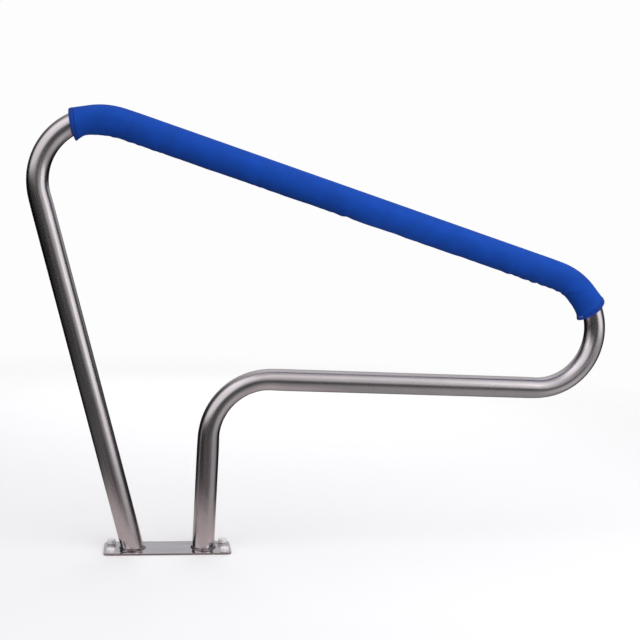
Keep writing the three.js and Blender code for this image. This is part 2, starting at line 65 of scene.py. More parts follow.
TUBE_RADIUS = 24.15 * MM
TUBE_WALL = 1.5 * MM
BEND_RADIUS = 133.5 * MM
LEANING_FOOT = -75 * MM
LEAN = 15.35 * DEG
CORNER_HEIGHT = 995 * MM
RAIL_SLOPE = 16.75 * DEG
RAIL_END = 862.2 * MM
RETURN_SLOPE = 1.0 * DEG
UPRIGHT_FOOT = 77.7 * MM
UPRIGHT_LEAN = 1.2 * DEG

PLATE_LOW, PLATE_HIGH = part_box("base_plate")
PLATE_CORNER = 10 * MM
HOLE_RADIUS = 4.5 * MM
HOLE_X = 122.75 * MM
HOLE_Y = 32.75 * MM
FIXINGS = [(-HOLE_X, -HOLE_Y), (HOLE_X, -HOLE_Y), (HOLE_X, HOLE_Y), (-HOLE_X, HOLE_Y)]
SEAT = 0.3 * MM  # screw heads and caps stand this far off the plate
ANCHOR_MOUTH = -2.5 * MM  # height of the anchors' mouths, just under the plate

SLEEVE_TOP = 27.4 * MM  # the sleeve's section, above the tube's middle
SLEEVE_SIDE = 31 * MM  # to each side
SLEEVE_BOTTOM = 36.3 * MM  # and below
SLEEVE_THICKNESS = 3 * MM
SLEEVE_START = 28.8 * DEG  # heading of the centre line at the upper end
SLEEVE_END = -68.4 * DEG  # and at the nose end
HEM_WIDTH = 9 * MM
HEM_GAP = 0.3 * MM
HEM_RAISED = 0.6 * MM  # the folded hem stands this far above the sleeve
HEM_STITCHES = (3.4 * MM, 7.7 * MM)  # the two rows of stitching, from the edge
HEM_GROOVE = 0.5 * MM  # the stitches sink this far into the hem
LIP_GROOVE = 0.45 * MM  # and this far into the lips beside the zip
THREAD_RADIUS = 0.3 * MM

# Angles round the sleeve are in degrees from straight up, towards the rear.
ZIP_ANGLE = 100.0
SLIT_HALF = 11.0
TAPE_WIDTH = 20.0
TAPE_DEPTH = 3.6 * MM
TAPE_THICKNESS = 0.8 * MM
LIP_STITCH = 15.0
ZIP_TOP = 27.5 * MM  # the zip follows a section of its own, this far above the tube's middle
ZIP_BOTTOM = 37 * MM  # and this far below
COIL_PITCH = 2.0 * MM
COIL_WIRE = 0.34 * MM
COIL_REACH = 2.5 * MM  # from the zip's middle to the far side of a coil
COIL_LIFT = 1.55 * MM  # from the tapes' faces to the middle of a coil
COIL_HALF_DEPTH = 0.75 * MM
COIL_OVERLAP = 0.3 * MM  # a closed coil's turns reach this far past the zip's middle
COIL_PARTED = 0.45 * MM  # and a parted one's stop this far short of it


# ---- The rail's centre line ------------------------------------------------------------------

class CentreLine:
    """Straights and bends in the XZ plane, from the leaning foot round to the upright one."""

    def __init__(self, point, heading):
        self.parts = []
        self.point = np.array(point, float)
        self.heading = heading
        self.length = 0.0

    def go(self, length, turn=0.0):
        """Adds a straight, or a bend when it turns; returns where it starts."""
        start = self.length
        self.parts.append((start, length, self.point, self.heading, turn))
        self.length += length
        x, z, heading = self.at(np.array([self.length]))
        self.point, self.heading = np.array([x[0], z[0]]), heading[0]
        return start

    def bend(self, turn):
        return self.go(abs(turn) * BEND_RADIUS, turn)

    def at(self, s):
        """x, z and heading at distances s along the line."""
        s = np.asarray(s, float)
        x, z, heading = np.empty(s.shape), np.empty(s.shape), np.empty(s.shape)
        for start, length, point, first, turn in self.parts:
            here = s >= start - 1e-9 if start else np.ones(s.shape, bool)
            t = s[here] - start
            now = first + turn * t / length
            heading[here] = now
            if turn:
                radius = math.copysign(BEND_RADIUS, turn)
                x[here] = point[0] + radius * (np.sin(now) - math.sin(first))
                z[here] = point[1] + radius * (math.cos(first) - np.cos(now))
            else:
                x[here] = point[0] + t * math.cos(first)
                z[here] = point[1] + t * math.sin(first)
        return x, z, heading

    def distance_to(self, heading, x):
        """How far ahead the line would cross another one, which meets the ground at x."""
        to_foot = np.array([x, 0]) - self.point
        across = np.array([-math.sin(heading), math.cos(heading)])
        ahead = np.array([math.cos(self.heading), math.sin(self.heading)])
        return to_foot @ across / (ahead @ across)


def tangent_length(turn):
    """Length of straight that a bend takes from each side of its corner."""
    return BEND_RADIUS * math.tan(abs(turn) / 2)


LEG_HEADING = math.pi / 2 + LEAN
RETURN_HEADING = -math.pi - RETURN_SLOPE
UPRIGHT_HEADING = -math.pi / 2 - UPRIGHT_LEAN
TOP_TURN = -RAIL_SLOPE - LEG_HEADING
NOSE_TURN = RETURN_HEADING + RAIL_SLOPE
ELBOW_TURN = UPRIGHT_HEADING - RETURN_HEADING

line = CentreLine((LEANING_FOOT, 0), LEG_HEADING)
line.go(CORNER_HEIGHT / math.cos(LEAN) - tangent_length(TOP_TURN))
TOP_BEND = line.bend(TOP_TURN)
line.go((RAIL_END - line.point[0]) / math.cos(RAIL_SLOPE))
NOSE_BEND = line.bend(NOSE_TURN)
line.go(line.distance_to(UPRIGHT_HEADING, UPRIGHT_FOOT) - tangent_length(ELBOW_TURN))
ELBOW = line.bend(ELBOW_TURN)
line.go(float(np.hypot(line.point[0] - UPRIGHT_FOOT, line.point[1])))

SLEEVE_FROM = TOP_BEND + BEND_RADIUS * (LEG_HEADING - SLEEVE_START)
SLEEVE_TO = NOSE_BEND + BEND_RADIUS * (-RAIL_SLOPE - SLEEVE_END)
ZIP_FROM = SLEEVE_FROM + 16 * MM
SLIDER_AT = SLEEVE_TO - 20 * MM
SLIDER_RUN = 40 * DEG * BEND_RADIUS


def points_of(x, y, z):
    """Points from their coordinates, each spread to a common shape."""
    return np.stack(np.broadcast_arrays(x, y, z), -1)


def on_rail(s, across, outward):
    """Points beside the centre line: across is to the rear, outward away from the loop's middle."""
    x, z, heading = line.at(s)
    return points_of(x - np.sin(heading) * outward, across, z + np.cos(heading) * outward)


# ---- Meshes ----------------------------------------------------------------------------------

WIRE_SIDES = 6


def angles_round(sides):
    """The angles of a circle's equal sides."""
    return np.arange(sides) * 2 * math.pi / sides


def grid_faces(rows, columns, closed_rows=False):
    """Quads over a grid of points numbered row by row, closed along each row."""
    i = np.arange(rows if closed_rows else rows - 1)[:, None]
    j = np.arange(columns)[None, :]
    here, right = i * columns, (j + 1) % columns
    above = ((i + 1) % rows) * columns
    return np.stack([here + j, here + right, above + right, above + j], -1).reshape(-1, 4).tolist()


def add_object(name, data):
    """A new object in the scene."""
    made = bpy.data.objects.new(name, data)
    bpy.context.scene.collection.objects.link(made)
    return made


def final_mesh(holder, *helpers):
    """An object's mesh with its modifiers and bevels applied; the object and its helpers are deleted."""
    depsgraph = bpy.context.evaluated_depsgraph_get()
    mesh = bpy.data.meshes.new_from_object(holder.evaluated_get(depsgraph), depsgraph=depsgraph)
    for spare in (holder, *helpers):
        bpy.data.objects.remove(spare)
    return mesh


def smoothed(mesh, sharp, rework=None):
    """Turns a mesh's faces outwards and shades it smooth, except over edges past the sharp angle."""
    work = bmesh.new()
    work.from_mesh(mesh)
    if rework:
        rework(work)
    bmesh.ops.recalc_face_normals(work, faces=work.faces)
    work.to_mesh(mesh)
    work.free()
    mesh.shade_smooth()
    mesh.set_sharp_from_angle(angle=sharp * DEG)
    return mesh


def mesh_of(name, points, faces, laid=None, sharp=35):
    """A smooth-shaded mesh; laid is where its points lie with the rail straightened."""
    mesh = bpy.data.meshes.new(name)
    mesh.from_pydata(np.asarray(points, float).reshape(-1, 3).tolist(), [], faces)
    if laid is not None:
        attribute = mesh.attributes.new("laid", "FLOAT_VECTOR", "POINT")
        attribute.data.foreach_set("vector", np.asarray(laid, np.float32).ravel())
    return smoothed(mesh, sharp)


def show(name, mesh, body, material, replaces=()):
    """Puts a mesh in the scene as a piece of the handrail."""
    piece = add_object(name, mesh)
    mesh.materials.clear()
    mesh.materials.append(material)
    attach(piece, body)
    if replaces:
        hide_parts(*replaces)
    return piece


def ring_points(rings, angle):
    """Points round the z axis, from rings of (radius, height) in millimetres."""
    return np.array([points_of(r * np.cos(angle), r * np.sin(angle), h) for r, h in rings]) * MM


def turned(name, rings, angle, sharp):
    """A solid round the z axis, from rings of (radius, height) in millimetres between two poles."""
    sides = len(angle)
    points = ring_points(rings[1:-1], angle)
    top = (len(points) - 1) * sides
    faces = grid_faces(len(points), sides)
    first, last = top + sides, top + sides + 1
    for j in range(sides):
        after = (j + 1) % sides
        faces.append([first, after, j])
        faces.append([last, top + j, top + after])
    poles = [[0, 0, rings[0][1] * MM], [0, 0, rings[-1][1] * MM]]
    return mesh_of(name, np.vstack([points.reshape(-1, 3), poles]), faces, sharp=sharp)


def wire(centres, radius, side):
    """Points and faces of round wires: centres are (wires, stations, 3), side never points along them."""
    along = np.gradient(centres, axis=1)
    along /= np.linalg.norm(along, axis=-1, keepdims=True)
    one = np.cross(along, side)
    one /= np.linalg.norm(one, axis=-1, keepdims=True)
    two = np.cross(along, one)
    angle = angles_round(WIRE_SIDES)[:, None]
    wires, stations = centres.shape[:2]
    radius = np.broadcast_to(radius, (wires, stations))[..., None, None]
    spokes = one[..., None, :] * np.cos(angle) + two[..., None, :] * np.sin(angle)
    points = centres[..., None, :] + radius * spokes
    size = stations * WIRE_SIDES
    single = grid_faces(stations, WIRE_SIDES)
    single += [list(range(WIRE_SIDES)), list(range(size - WIRE_SIDES, size))]
    return points, [[v + k * size for v in face] for k in range(wires) for face in single]


def softened(name, node, edge, segments=2):
    """A copy of a CAD piece with every hard edge rounded."""
    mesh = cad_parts[node].data.copy()
    mesh.name = name

    def round_edges(work):
        bmesh.ops.remove_doubles(work, verts=work.verts, dist=0.001 * MM)
        bmesh.ops.dissolve_limit(work, angle_limit=1 * DEG, verts=work.verts, edges=work.edges)
        hard = [e for e in work.edges if e.is_manifold and e.calc_face_angle(0) > 28 * DEG]
        bmesh.ops.bevel(
            work, geom=hard, offset=edge, segments=segments, profile=0.6, affect="EDGES", clamp_overlap=True
        )

    return smoothed(mesh, 30, round_edges)


def bell(x, middle, width):
    """A smooth hump of height 1."""
    return np.exp(-(((x - middle) / width) ** 2))


def ramp(x, start, end):
    """A smooth step from 0 to 1."""
    t = np.clip((x - start) / (end - start), 0, 1)
    return t * t * (3 - 2 * t)


def unevenness(s, around, length, seed):
    """Smooth noise from -1 to 1 over a surface, with features of that length."""
    s, around = np.broadcast_arrays(s, around)
    pairs = zip(s.ravel(), around.ravel())
    return np.array([noise.noise(Vector((a / length, b / length, seed))) for a, b in pairs]).reshape(s.shape)


# ---- Materials -------------------------------------------------------------------------------

WAVE_PERIOD = math.pi / 10  # of a band texture at scale 1


def linear(colour):
    """A linear colour from an sRGB hex value."""
    parts = [int(colour[i : i + 2], 16) / 255 for i in (1, 3, 5)]
    return (*[p / 12.92 if p <= 0.04045 else ((p + 0.055) / 1.055) ** 2.4 for p in parts], 1.0)


def span(start, end, low=0.0, high=1.0):
    """The inputs that map a value from start and end to low and high."""
    return {"From Min": start, "From Max": end, "To Min": low, "To Max": high}


def set_inputs(node, inputs):
    """Gives a node's inputs their values, or links from other nodes' outputs."""
    for socket, source in inputs.items():
        if isinstance(source, bpy.types.NodeSocket):
            node.id_data.links.new(source, node.inputs[socket])
        else:
            node.inputs[socket].default_value = source


def add_node(tree, kind, inputs=None, output=None, **settings):
    """Adds a node with its settings and links, and returns the output named, or its first one in use."""
    node = tree.nodes.new(f"ShaderNode{kind}")
    for name, value in settings.items():
        setattr(node, name, value)
    set_inputs(node, inputs or {})
    return node.outputs[output] if output else next(made for made in node.outputs if made.enabled)


def start_material(name, laid=False):
    """A new material, the function that adds nodes to it, and the places that its patterns follow."""
    material = bpy.data.materials.new(name)
    material.use_nodes = True
    add = partial(add_node, material.node_tree)
    if laid:
        return material, add, add("Attribute", output="Vector", attribute_name="laid")
    return material, add, add("TexCoord", output="Object")


def finished(material, inputs):
    """Sets the shader's own sockets to values or links."""
    set_inputs(material.node_tree.nodes["Principled BSDF"], inputs)
    return material


def satin_polished_stainless(colour, roughness):
    """304 stainless tube, drawn and then polished lengthwise with a fine belt."""
    # The belt leaves faint streaks along the tube that draw the reflections out into long soft bands,
    # and the feet are buffed brighter where the welds were cleaned up.
    material, add, laid = start_material("stainless_tube_belt_polished", laid=True)
    # Belt lines are about 0.1 mm apart; drawn 1.5 mm apart, and 120 mm long, so that they show.
    lines = add("Mapping", {"Vector": laid, "Scale": (1 / (120 * MM), 1 / (1.5 * MM), 1 / (1.5 * MM))})
    streaks = add("TexNoise", {"Vector": lines, "Scale": 1.0, "Detail": 3.0, "Roughness": 0.6})
    # Cloudy patches the size of a hand, from handling and polishing by eye.
    clouds = add("TexNoise", {"Vector": laid, "Scale": 1 / (75 * MM), "Detail": 2.0, "Roughness": 0.5})
    tint = add("Mix", {"Factor": clouds, "A": linear("#BAB4B5"), "B": colour}, data_type="RGBA")
    height = add("SeparateXYZ", {"Vector": add("NewGeometry", output="Position")}, "Z")
    buffed = add(
        "MapRange", {"Value": height, **span(12 * MM, 60 * MM, -0.1, 0.0)}, interpolation_type="SMOOTHSTEP"
    )
    streaky = add("MapRange", {"Value": streaks, **span(0.3, 0.7, roughness - 0.05, roughness + 0.06)})
    rough = add("Math", {0: streaky, 1: buffed})
    bump = add("Bump", {"Height": streaks, "Strength": 0.07, "Distance": 0.02 * MM})
    return finished(material, {"Metallic": 1.0, "Base Color": tint, "Roughness": rough, "Normal": bump})


def mirror_polished_stainless(colour):
    """304 stainless plate, laser cut and wheel polished to a mirror."""
    # It mirrors the legs and the room almost sharply, dulled a little by wipe marks and water spots.
    material, add, place = start_material("stainless_plate_mirror_polished")
    wipes = add("Mapping", {"Vector": place, "Scale": (1 / (60 * MM), 1 / (14 * MM), 1 / (14 * MM))})
    smears = add("TexNoise", {"Vector": wipes, "Scale": 1.0, "Detail": 4.0, "Roughness": 0.6})
    # Dried drops, about 7 mm across.
    drops = add("TexVoronoi", {"Vector": place, "Scale": 1 / (16 * MM), "Randomness": 1.0})
    spots = add("MapRange", {"Value": drops, **span(0.16, 0.22, 0.05, 0.0)})
    smeared = add("MapRange", {"Value": smears, **span(0.35, 0.7, 0.05, 0.13)})
    rough = add("Math", {0: smeared, 1: spots})
    tint = add("Mix", {"Factor": smears, "A": colour, "B": linear("#BDB9BD")}, data_type="RGBA")
    # The laser leaves the cut edges finely ribbed and browned. Every face turned away from straight up, the
    # underside too, is painted darker here: partly that browning, partly painted shade.
    upward = add("SeparateXYZ", {"Vector": add("NewGeometry", output="Normal")}, "Z")
    edges = add("MapRange", {"Value": upward, **span(0.2, 0.75, 1.0, 0.0)})
    browned_and_shaded = add("Mix", {"Factor": edges, "A": tint, "B": linear("#8C7F7C")}, data_type="RGBA")
    return finished(material, {"Metallic": 1.0, "Base Color": browned_and_shaded, "Roughness": rough})


def tig_welded_stainless():
    """Filler metal laid by hand with a TIG torch, and brushed after."""
    # Each ripple catches the light, with straw and brown heat tints left in the creases.
    material, add, place = start_material("stainless_weld_tig_brushed")
    tints = add("TexNoise", {"Vector": place, "Scale": 1 / (9 * MM), "Detail": 3.0})
    spread = add("MapRange", {"Value": tints, **span(0.35, 0.65)})
    tint = add("Mix", {"Factor": spread, "A": linear("#574B46"), "B": linear("#9A928E")}, data_type="RGBA")
    brushed = add("TexNoise", {"Vector": place, "Scale": 1 / (0.8 * MM), "Detail": 2.0})
    rough = add("MapRange", {"Value": brushed, **span(0, 1, 0.22, 0.46)})
    bump = add("Bump", {"Height": brushed, "Strength": 0.4, "Distance": 0.06 * MM})
    return finished(material, {"Metallic": 1.0, "Base Color": tint, "Roughness": rough, "Normal": bump})


def jersey_faced_neoprene(name, colour, shade):
    """Foam rubber sheet bonded to a stretch nylon jersey, dyed blue."""
    # The knit scatters light into a soft matt face with a pale bloom at its edges, and stretches
    # slightly unevenly, so the blue drifts a little along the sleeve.
    material, add, laid = start_material(name, laid=True)
    drift = add("TexNoise", {"Vector": laid, "Scale": 1 / (45 * MM), "Detail": 4.0, "Roughness": 0.55})
    shades = add("MapRange", {"Value": drift, **span(0.3, 0.7)})
    dyed = add("Mix", {"Factor": shades, "A": shade, "B": colour}, data_type="RGBA")
    # Wales and courses are about 0.7 mm apart on the real jersey; drawn wider, so that they show.
    rows = {"Vector": laid, "Detail": 1.0, "Detail Scale": 2.0}
    wales = {**rows, "Scale": WAVE_PERIOD / (1.4 * MM), "Distortion": 0.4}
    wales = add("TexWave", wales, "Fac", bands_direction="Y")
    courses = {**rows, "Scale": WAVE_PERIOD / (1.1 * MM), "Distortion": 0.6}
    courses = add("TexWave", courses, "Fac", bands_direction="X")
    knit = add("Math", {0: wales, 1: courses}, operation="MULTIPLY")
    # The knit's hollows are painted darker and its loops a little lighter: painted shade and a painted
    # highlight on the knit, over its bump.
    sunk = add("MapRange", {"Value": knit, **span(0, 1, 0.86, 1.06)})
    face = add("VectorMath", {0: dyed, "Scale": sunk}, operation="SCALE")
    fuzz = add("TexNoise", {"Vector": laid, "Scale": 1 / (0.5 * MM), "Detail": 2.0})
    relief = add("Math", {0: fuzz, 1: 0.35, 2: knit}, operation="MULTIPLY_ADD")
    bump = add("Bump", {"Height": relief, "Strength": 0.5, "Distance": 0.12 * MM})
    return finished(material, {
        "Base Color": face, "Normal": bump, "Roughness": 0.78, "Specular IOR Level": 0.14,
        "Sheen Weight": 0.07, "Sheen Roughness": 0.45, "Sheen Tint": linear("#7FA3F2"),
    })


def twisted_polyester_thread(colour):
    """Polyester sewing thread, spun and plied."""
    # Slightly glossier than the cloth round it, so each stitch shows as a small bright bead.
    material, add, place = start_material("polyester_thread_plied")
    plies = {"Vector": place, "Scale": WAVE_PERIOD / (0.5 * MM)}
    plies = add("TexWave", plies, "Fac", bands_direction="DIAGONAL")
    tint = add("Mix", {"Factor": plies, "A": linear("#122F78"), "B": colour}, data_type="RGBA")
    bump = add("Bump", {"Height": plies, "Strength": 0.5, "Distance": 0.05 * MM})
    return finished(material, {
        "Base Color": tint, "Normal": bump, "Roughness": 0.5, "Sheen Weight": 0.3, "Sheen Roughness": 0.4,
    })


def woven_polyester_tape():
    """Zip tape woven from navy polyester in a fine herringbone."""
    # A flat dark band whose slanting ribs only show close to.
    material, add, laid = start_material("polyester_tape_woven", laid=True)
    ribs = add(
        "TexWave", {"Vector": laid, "Scale": WAVE_PERIOD / (0.9 * MM), "Distortion": 0.3}, "Fac",
        bands_direction="DIAGONAL",
    )
    warps = add("TexWave", {"Vector": laid, "Scale": WAVE_PERIOD / (2.2 * MM)}, "Fac", bands_direction="Y")
    weave = add("Math", {0: ribs, 1: 0.5, 2: warps}, operation="MULTIPLY_ADD")
    tint = add("Mix", {"Factor": weave, "A": linear("#0D1B47"), "B": linear("#1B3273")}, data_type="RGBA")
    bump = add("Bump", {"Height": weave, "Strength": 0.6, "Distance": 0.1 * MM})
    return finished(material, {
        "Base Color": tint, "Normal": bump, "Roughness": 0.82, "Sheen Weight": 0.15,
    })


def extruded_nylon_coil():
    """Nylon monofilament, extruded and wound hot into a zip's coil."""
    # Smooth and faintly waxy, with a small highlight on every turn.
    material, add, place = start_material("nylon_monofilament_extruded")
    drift = add("TexNoise", {"Vector": place, "Scale": 1 / (20 * MM), "Detail": 2.0})
    tint = add("Mix", {"Factor": drift, "A": linear("#131E45"), "B": linear("#1D2C62")}, data_type="RGBA")
    return finished(material, {
        "Base Color": tint, "Roughness": 0.34, "Subsurface Weight": 0.05, "IOR": 1.53,
    })


def marked_metal(name, size, detail, roughness, dark, light, gloss, relief=0.0):
    """A metal with marks of one size that change its shade and gloss, and that may stand out."""
    material, add, place = start_material(name)
    marks = add("TexNoise", {"Vector": place, "Scale": 1 / size, "Detail": detail, "Roughness": roughness})
    tint = add("Mix", {"Factor": marks, "A": linear(dark), "B": linear(light)}, data_type="RGBA")
    rough = add("MapRange", {"Value": marks, **span(0, 1, *gloss)})
    inputs = {"Metallic": 1.0, "Base Color": tint, "Roughness": rough}
    if relief:
        inputs["Normal"] = add("Bump", {"Height": marks, "Strength": relief, "Distance": 0.05 * MM})
    return finished(material, inputs)


def nickel_plated_zinc():
    """Zinc alloy, die cast, barrel polished and nickel plated."""
    # Bright but soft-edged, with tumbling marks and duller hollows.
    return marked_metal("zinc_die_cast_nickel_plated", 1.5 * MM, 3.0, 0.6, "#9A9A9C", "#C4C2BF", (0.18, 0.42))


def thread_rolled_stainless():
    """A4 stainless screw: cold-headed, thread-rolled, tumbled."""
    # Greyer than the polished tube, with burnished thread crests.
    return marked_metal(
        "stainless_screw_thread_rolled", 2.5 * MM, 4.0, 0.6, "#8A817B", "#B8B1AB", (0.2, 0.5), relief=0.3
    )


def blue_passivated_steel():
    """Pressed steel strip, zinc plated and blue passivated."""
    # Cool blue-white plate with cloudy patches where the bath took unevenly.
    return marked_metal("steel_zinc_plated_blue", 6 * MM, 4.0, 0.5, "#6F8FA6", "#B4CBD6", (0.28, 0.5))


def moulded_polyethylene(colour):
    """White polyethylene, injection moulded against a spark-eroded tool."""
    # Milky, with a fine even texture that breaks its highlights and a little light showing through.
    material, add, place = start_material("polyethylene_white_moulded")
    # Spark erosion leaves pits about 0.05 mm across; drawn at 0.4 mm so that they show.
    pits = add("TexNoise", {"Vector": place, "Scale": 1 / (0.4 * MM), "Detail": 2.0})
    flow = add("TexNoise", {"Vector": place, "Scale": 1 / (12 * MM), "Detail": 2.0})
    tint = add("Mix", {"Factor": flow, "A": linear("#DAD6D6"), "B": colour}, data_type="RGBA")
    bump = add("Bump", {"Height": pits, "Strength": 0.25, "Distance": 0.04 * MM})
    return finished(material, {
        "Base Color": tint, "Normal": bump, "Roughness": 0.42, "IOR": 1.51,
        "Subsurface Weight": 0.15, "Subsurface Scale": 1 * MM,
    })


# ---- Tube, plate and welds -------------------------------------------------------------------

FOOT_CLEARANCE = 0.05 * MM  # the legs stop this far above the plate, inside their welds
TUBE_ANGLES = angles_round(72)
BEND_LEAD = 28 * MM  # each bend's squashing starts and ends over this length either side of its ends
BEND_WIDENING = 0.3  # a squashed tube widens sideways by this share of what it loses
CORNER_STEPS = 10
HOLE_STEPS = 40


def flattening(s):
    """How much each bend has squashed the tube in its own plane, from 0 to 1."""
    share = np.zeros_like(s)
    for start, turn in ((TOP_BEND, TOP_TURN), (NOSE_BEND, NOSE_TURN), (ELBOW, ELBOW_TURN)):
        end = start + abs(turn) * BEND_RADIUS
        entered = ramp(s, start - BEND_LEAD, start + BEND_LEAD)
        share += entered * (1 - ramp(s, end - BEND_LEAD, end + BEND_LEAD))
    return share


def tube_stations():
    """Every 10 mm along the straights and every 1.5 degrees round the bends."""
    stations = []
    for start, length, _, _, turn in line.parts:
        step = 1.5 * DEG * BEND_RADIUS if turn else 10 * MM
        count = max(2, round(length / step))
        stations.extend(start + length * np.arange(count) / count)
    return np.array(stations[1:])


def cut_to_plate(radius, heading):
    """Distances up a leg at which its wall meets the plate, for each angle round it."""
    level = PLATE_HIGH.z + FOOT_CLEARANCE
    return (level - math.cos(heading) * radius * np.cos(TUBE_ANGLES)) / math.sin(heading)


def tube_wall(radius, flat):
    """Points of one face of the tube's wall, and where they lie with the tube straightened."""
    outward, across = radius * np.cos(TUBE_ANGLES), radius * np.sin(TUBE_ANGLES)
    first = cut_to_plate(radius, LEG_HEADING)
    last = line.length + cut_to_plate(radius, UPRIGHT_HEADING)
    inside = tube_stations()
    inside = inside[(inside > first.max() + 2 * MM) & (inside < last.min() - 2 * MM)]
    s = np.vstack([first, np.repeat(inside[:, None], len(TUBE_ANGLES), 1), last])
    squash = flattening(s) * flat
    points = on_rail(s, across * (1 + squash * BEND_WIDENING), outward * (1 - squash))
    return points, points_of(s, outward, across)


def make_tube(looks):
    outer, outer_laid = tube_wall(TUBE_RADIUS, looks.bend_flattening)
    inner, inner_laid = tube_wall(TUBE_RADIUS - TUBE_WALL, looks.bend_flattening)
    points = np.concatenate([outer, inner[::-1]])
    laid = np.concatenate([outer_laid, inner_laid[::-1]])
    mesh = mesh_of("bent_tube", points, grid_faces(len(points), len(TUBE_ANGLES), closed_rows=True), laid)
    material = satin_polished_stainless(looks.steel, looks.steel_roughness)
    show("bent_tube", mesh, "rail", material, ["handrail_tube"])


def rounded_outline(length, width, corner):
    """Points round a rectangle with arcs at its corners."""
    points = []
    for k, (x, y) in enumerate([(1, 1), (-1, 1), (-1, -1), (1, -1)]):
        for i in range(CORNER_STEPS + 1):
            angle = (k + i / CORNER_STEPS) * math.pi / 2
            out = x * (length / 2 - corner) + corner * math.cos(angle)
            points.append((out, y * (width / 2 - corner) + corner * math.sin(angle)))
    return points


def circle_outline(x, y, radius):
    return [(x + radius * math.cos(a), y + radius * math.sin(a)) for a in angles_round(HOLE_STEPS)]


def cut_plate(name, outlines, thickness, edge):
    """A flat plate with rounded edges; the first outline is its own and the others are holes."""
    curve = bpy.data.curves.new(name, "CURVE")
    curve.dimensions = "2D"
    curve.fill_mode = "BOTH"
    curve.extrude = thickness / 2 - edge
    curve.bevel_depth = edge
    curve.bevel_resolution = 3
    curve.offset = -edge
    for outline in outlines:
        spline = curve.splines.new("POLY")
        spline.points.add(len(outline) - 1)
        for point, (x, y) in zip(spline.points, outline):
            point.co = (x, y, 0, 1)
        spline.use_cyclic_u = True
    mesh = final_mesh(add_object(name, curve))
    bpy.data.curves.remove(curve)

    def join(work):
        bmesh.ops.remove_doubles(work, verts=work.verts, dist=0.002 * MM)
        bmesh.ops.dissolve_limit(work, angle_limit=0.5 * DEG, verts=work.verts, edges=work.edges)

    return smoothed(mesh, 25, join)


def make_plate(looks):
    size = PLATE_HIGH - PLATE_LOW
    outlines = [rounded_outline(size.x, size.y, PLATE_CORNER)]
    outlines += [circle_outline(x, y, HOLE_RADIUS) for x, y in FIXINGS]
    mesh = cut_plate("cut_plate", outlines, size.z, looks.plate_edge)
    mesh.transform(Matrix.Translation((PLATE_LOW + PLATE_HIGH) / 2))
    material = mirror_polished_stainless(looks.plate_steel)
    show("mirror_plate", mesh, "rail", material, ["base_plate"])


def weld_bead(name, foot, lean, leg, ripple):
    """A fillet of weld round a leg, laid as overlapping ripples. lean tilts the leg's top to -X."""
    around = np.arange(0, 360, 1.5) * DEG
    ripples = np.abs(np.sin(around * TUBE_RADIUS / ripple * math.pi)) ** 0.7
    wander = unevenness(TUBE_RADIUS * np.cos(around), TUBE_RADIUS * np.sin(around), 7 * MM, 3.0)
    floor = PLATE_HIGH.z + FOOT_CLEARANCE
    clear = TUBE_RADIUS + 0.02 * MM  # the bead starts just off the leg's wall

    def beside_leg(out, height):
        """Points out from the leg's wall, at a height."""
        x = foot - height * math.tan(lean) + (clear + out) * np.cos(around) / math.cos(lean)
        return points_of(x, (clear + out) * np.sin(around), height)

    size = leg * (1 + 0.12 * wander)
    sections = [beside_leg(0, floor)]
    for share in np.linspace(0, 1, 9):
        turn = share * math.pi / 2
        bulge = 0.62 + 0.1 * ripples * math.sin(share * math.pi)  # 0 is a hollow bead and 1 a round one
        out = size * (1 - math.sin(turn) * (1 - bulge) - (1 - math.cos(turn)) * bulge)
        rise = size * (1 - math.cos(turn) * (1 - bulge) - (1 - math.sin(turn)) * bulge)
        sections.append(beside_leg(np.maximum(out, 0), floor + np.maximum(rise, 0)))
    return mesh_of(name, sections, grid_faces(len(sections), len(around), closed_rows=True), sharp=60)


def make_welds(looks):
    material = tig_welded_stainless()
    for place, foot, lean in (("leaning", LEANING_FOOT, LEAN), ("upright", UPRIGHT_FOOT, -UPRIGHT_LEAN)):
        name = f"{place}_leg_bead"
        mesh = weld_bead(name, foot, lean, looks.weld_size, looks.weld_ripple)
        show(name, mesh, "rail", material, [f"{place}_leg_weld"])


# ---- Grip sleeve -----------------------------------------------------------------------------

AROUND = 33 * MM * DEG  # distance round the sleeve for each degree of its section
LIP_ANGLES = (ZIP_ANGLE + SLIT_HALF, ZIP_ANGLE + 360 - SLIT_HALF)
STITCH_ANGLES = (ZIP_ANGLE + LIP_STITCH, ZIP_ANGLE + 360 - LIP_STITCH)
Crease = namedtuple("Crease", "at depth width centre spread slant")


def swell(distance, *humps):
    """Humps of (height, place, width) in millimetres, at distances from one end of the sleeve."""
    return sum(height * MM * bell(distance, place * MM, width * MM) for height, place, width in humps)


def drawn_in(s):
    """How far the sleeve's top, sides and bottom stand from the tube's middle along the rail."""
    # The section is plain on the straight. Its edges flare at both ends, and the slack side bags
    # out inside each bend.
    upper, nose = s - SLEEVE_FROM, SLEEVE_TO - s
    straight = ramp(upper, 80 * MM, 150 * MM) * ramp(nose, 90 * MM, 150 * MM)
    top = SLEEVE_TOP + 0.9 * MM * straight + swell(upper, (4.2, 0, 19)) + swell(nose, (5.0, 0, 17))
    side = SLEEVE_SIDE + swell(upper, (1.6, 0, 14)) + swell(nose, (1.4, 0, 16))
    bottom = SLEEVE_BOTTOM - 3.0 * MM * (1 - ramp(upper, 30 * MM, 62 * MM))
    bottom = bottom + swell(upper, (-1.6, 23, 8), (0.5, 5, 8), (1.2, 95, 32))
    return top, side, bottom + swell(nose, (1.9, 42, 26), (1.6, 0, 10))


def draw_crease(draw, at, depth, width, centre, spread, slant):
    """A crease whose depth, width and slant in millimetres and place round the sleeve come from ranges."""
    ranges = (depth, width, centre, spread, slant)
    depth, width, centre, spread, slant = (draw.uniform(low, high) for low, high in ranges)
    return Crease(at, depth * MM, width * MM, centre, spread, slant * MM)


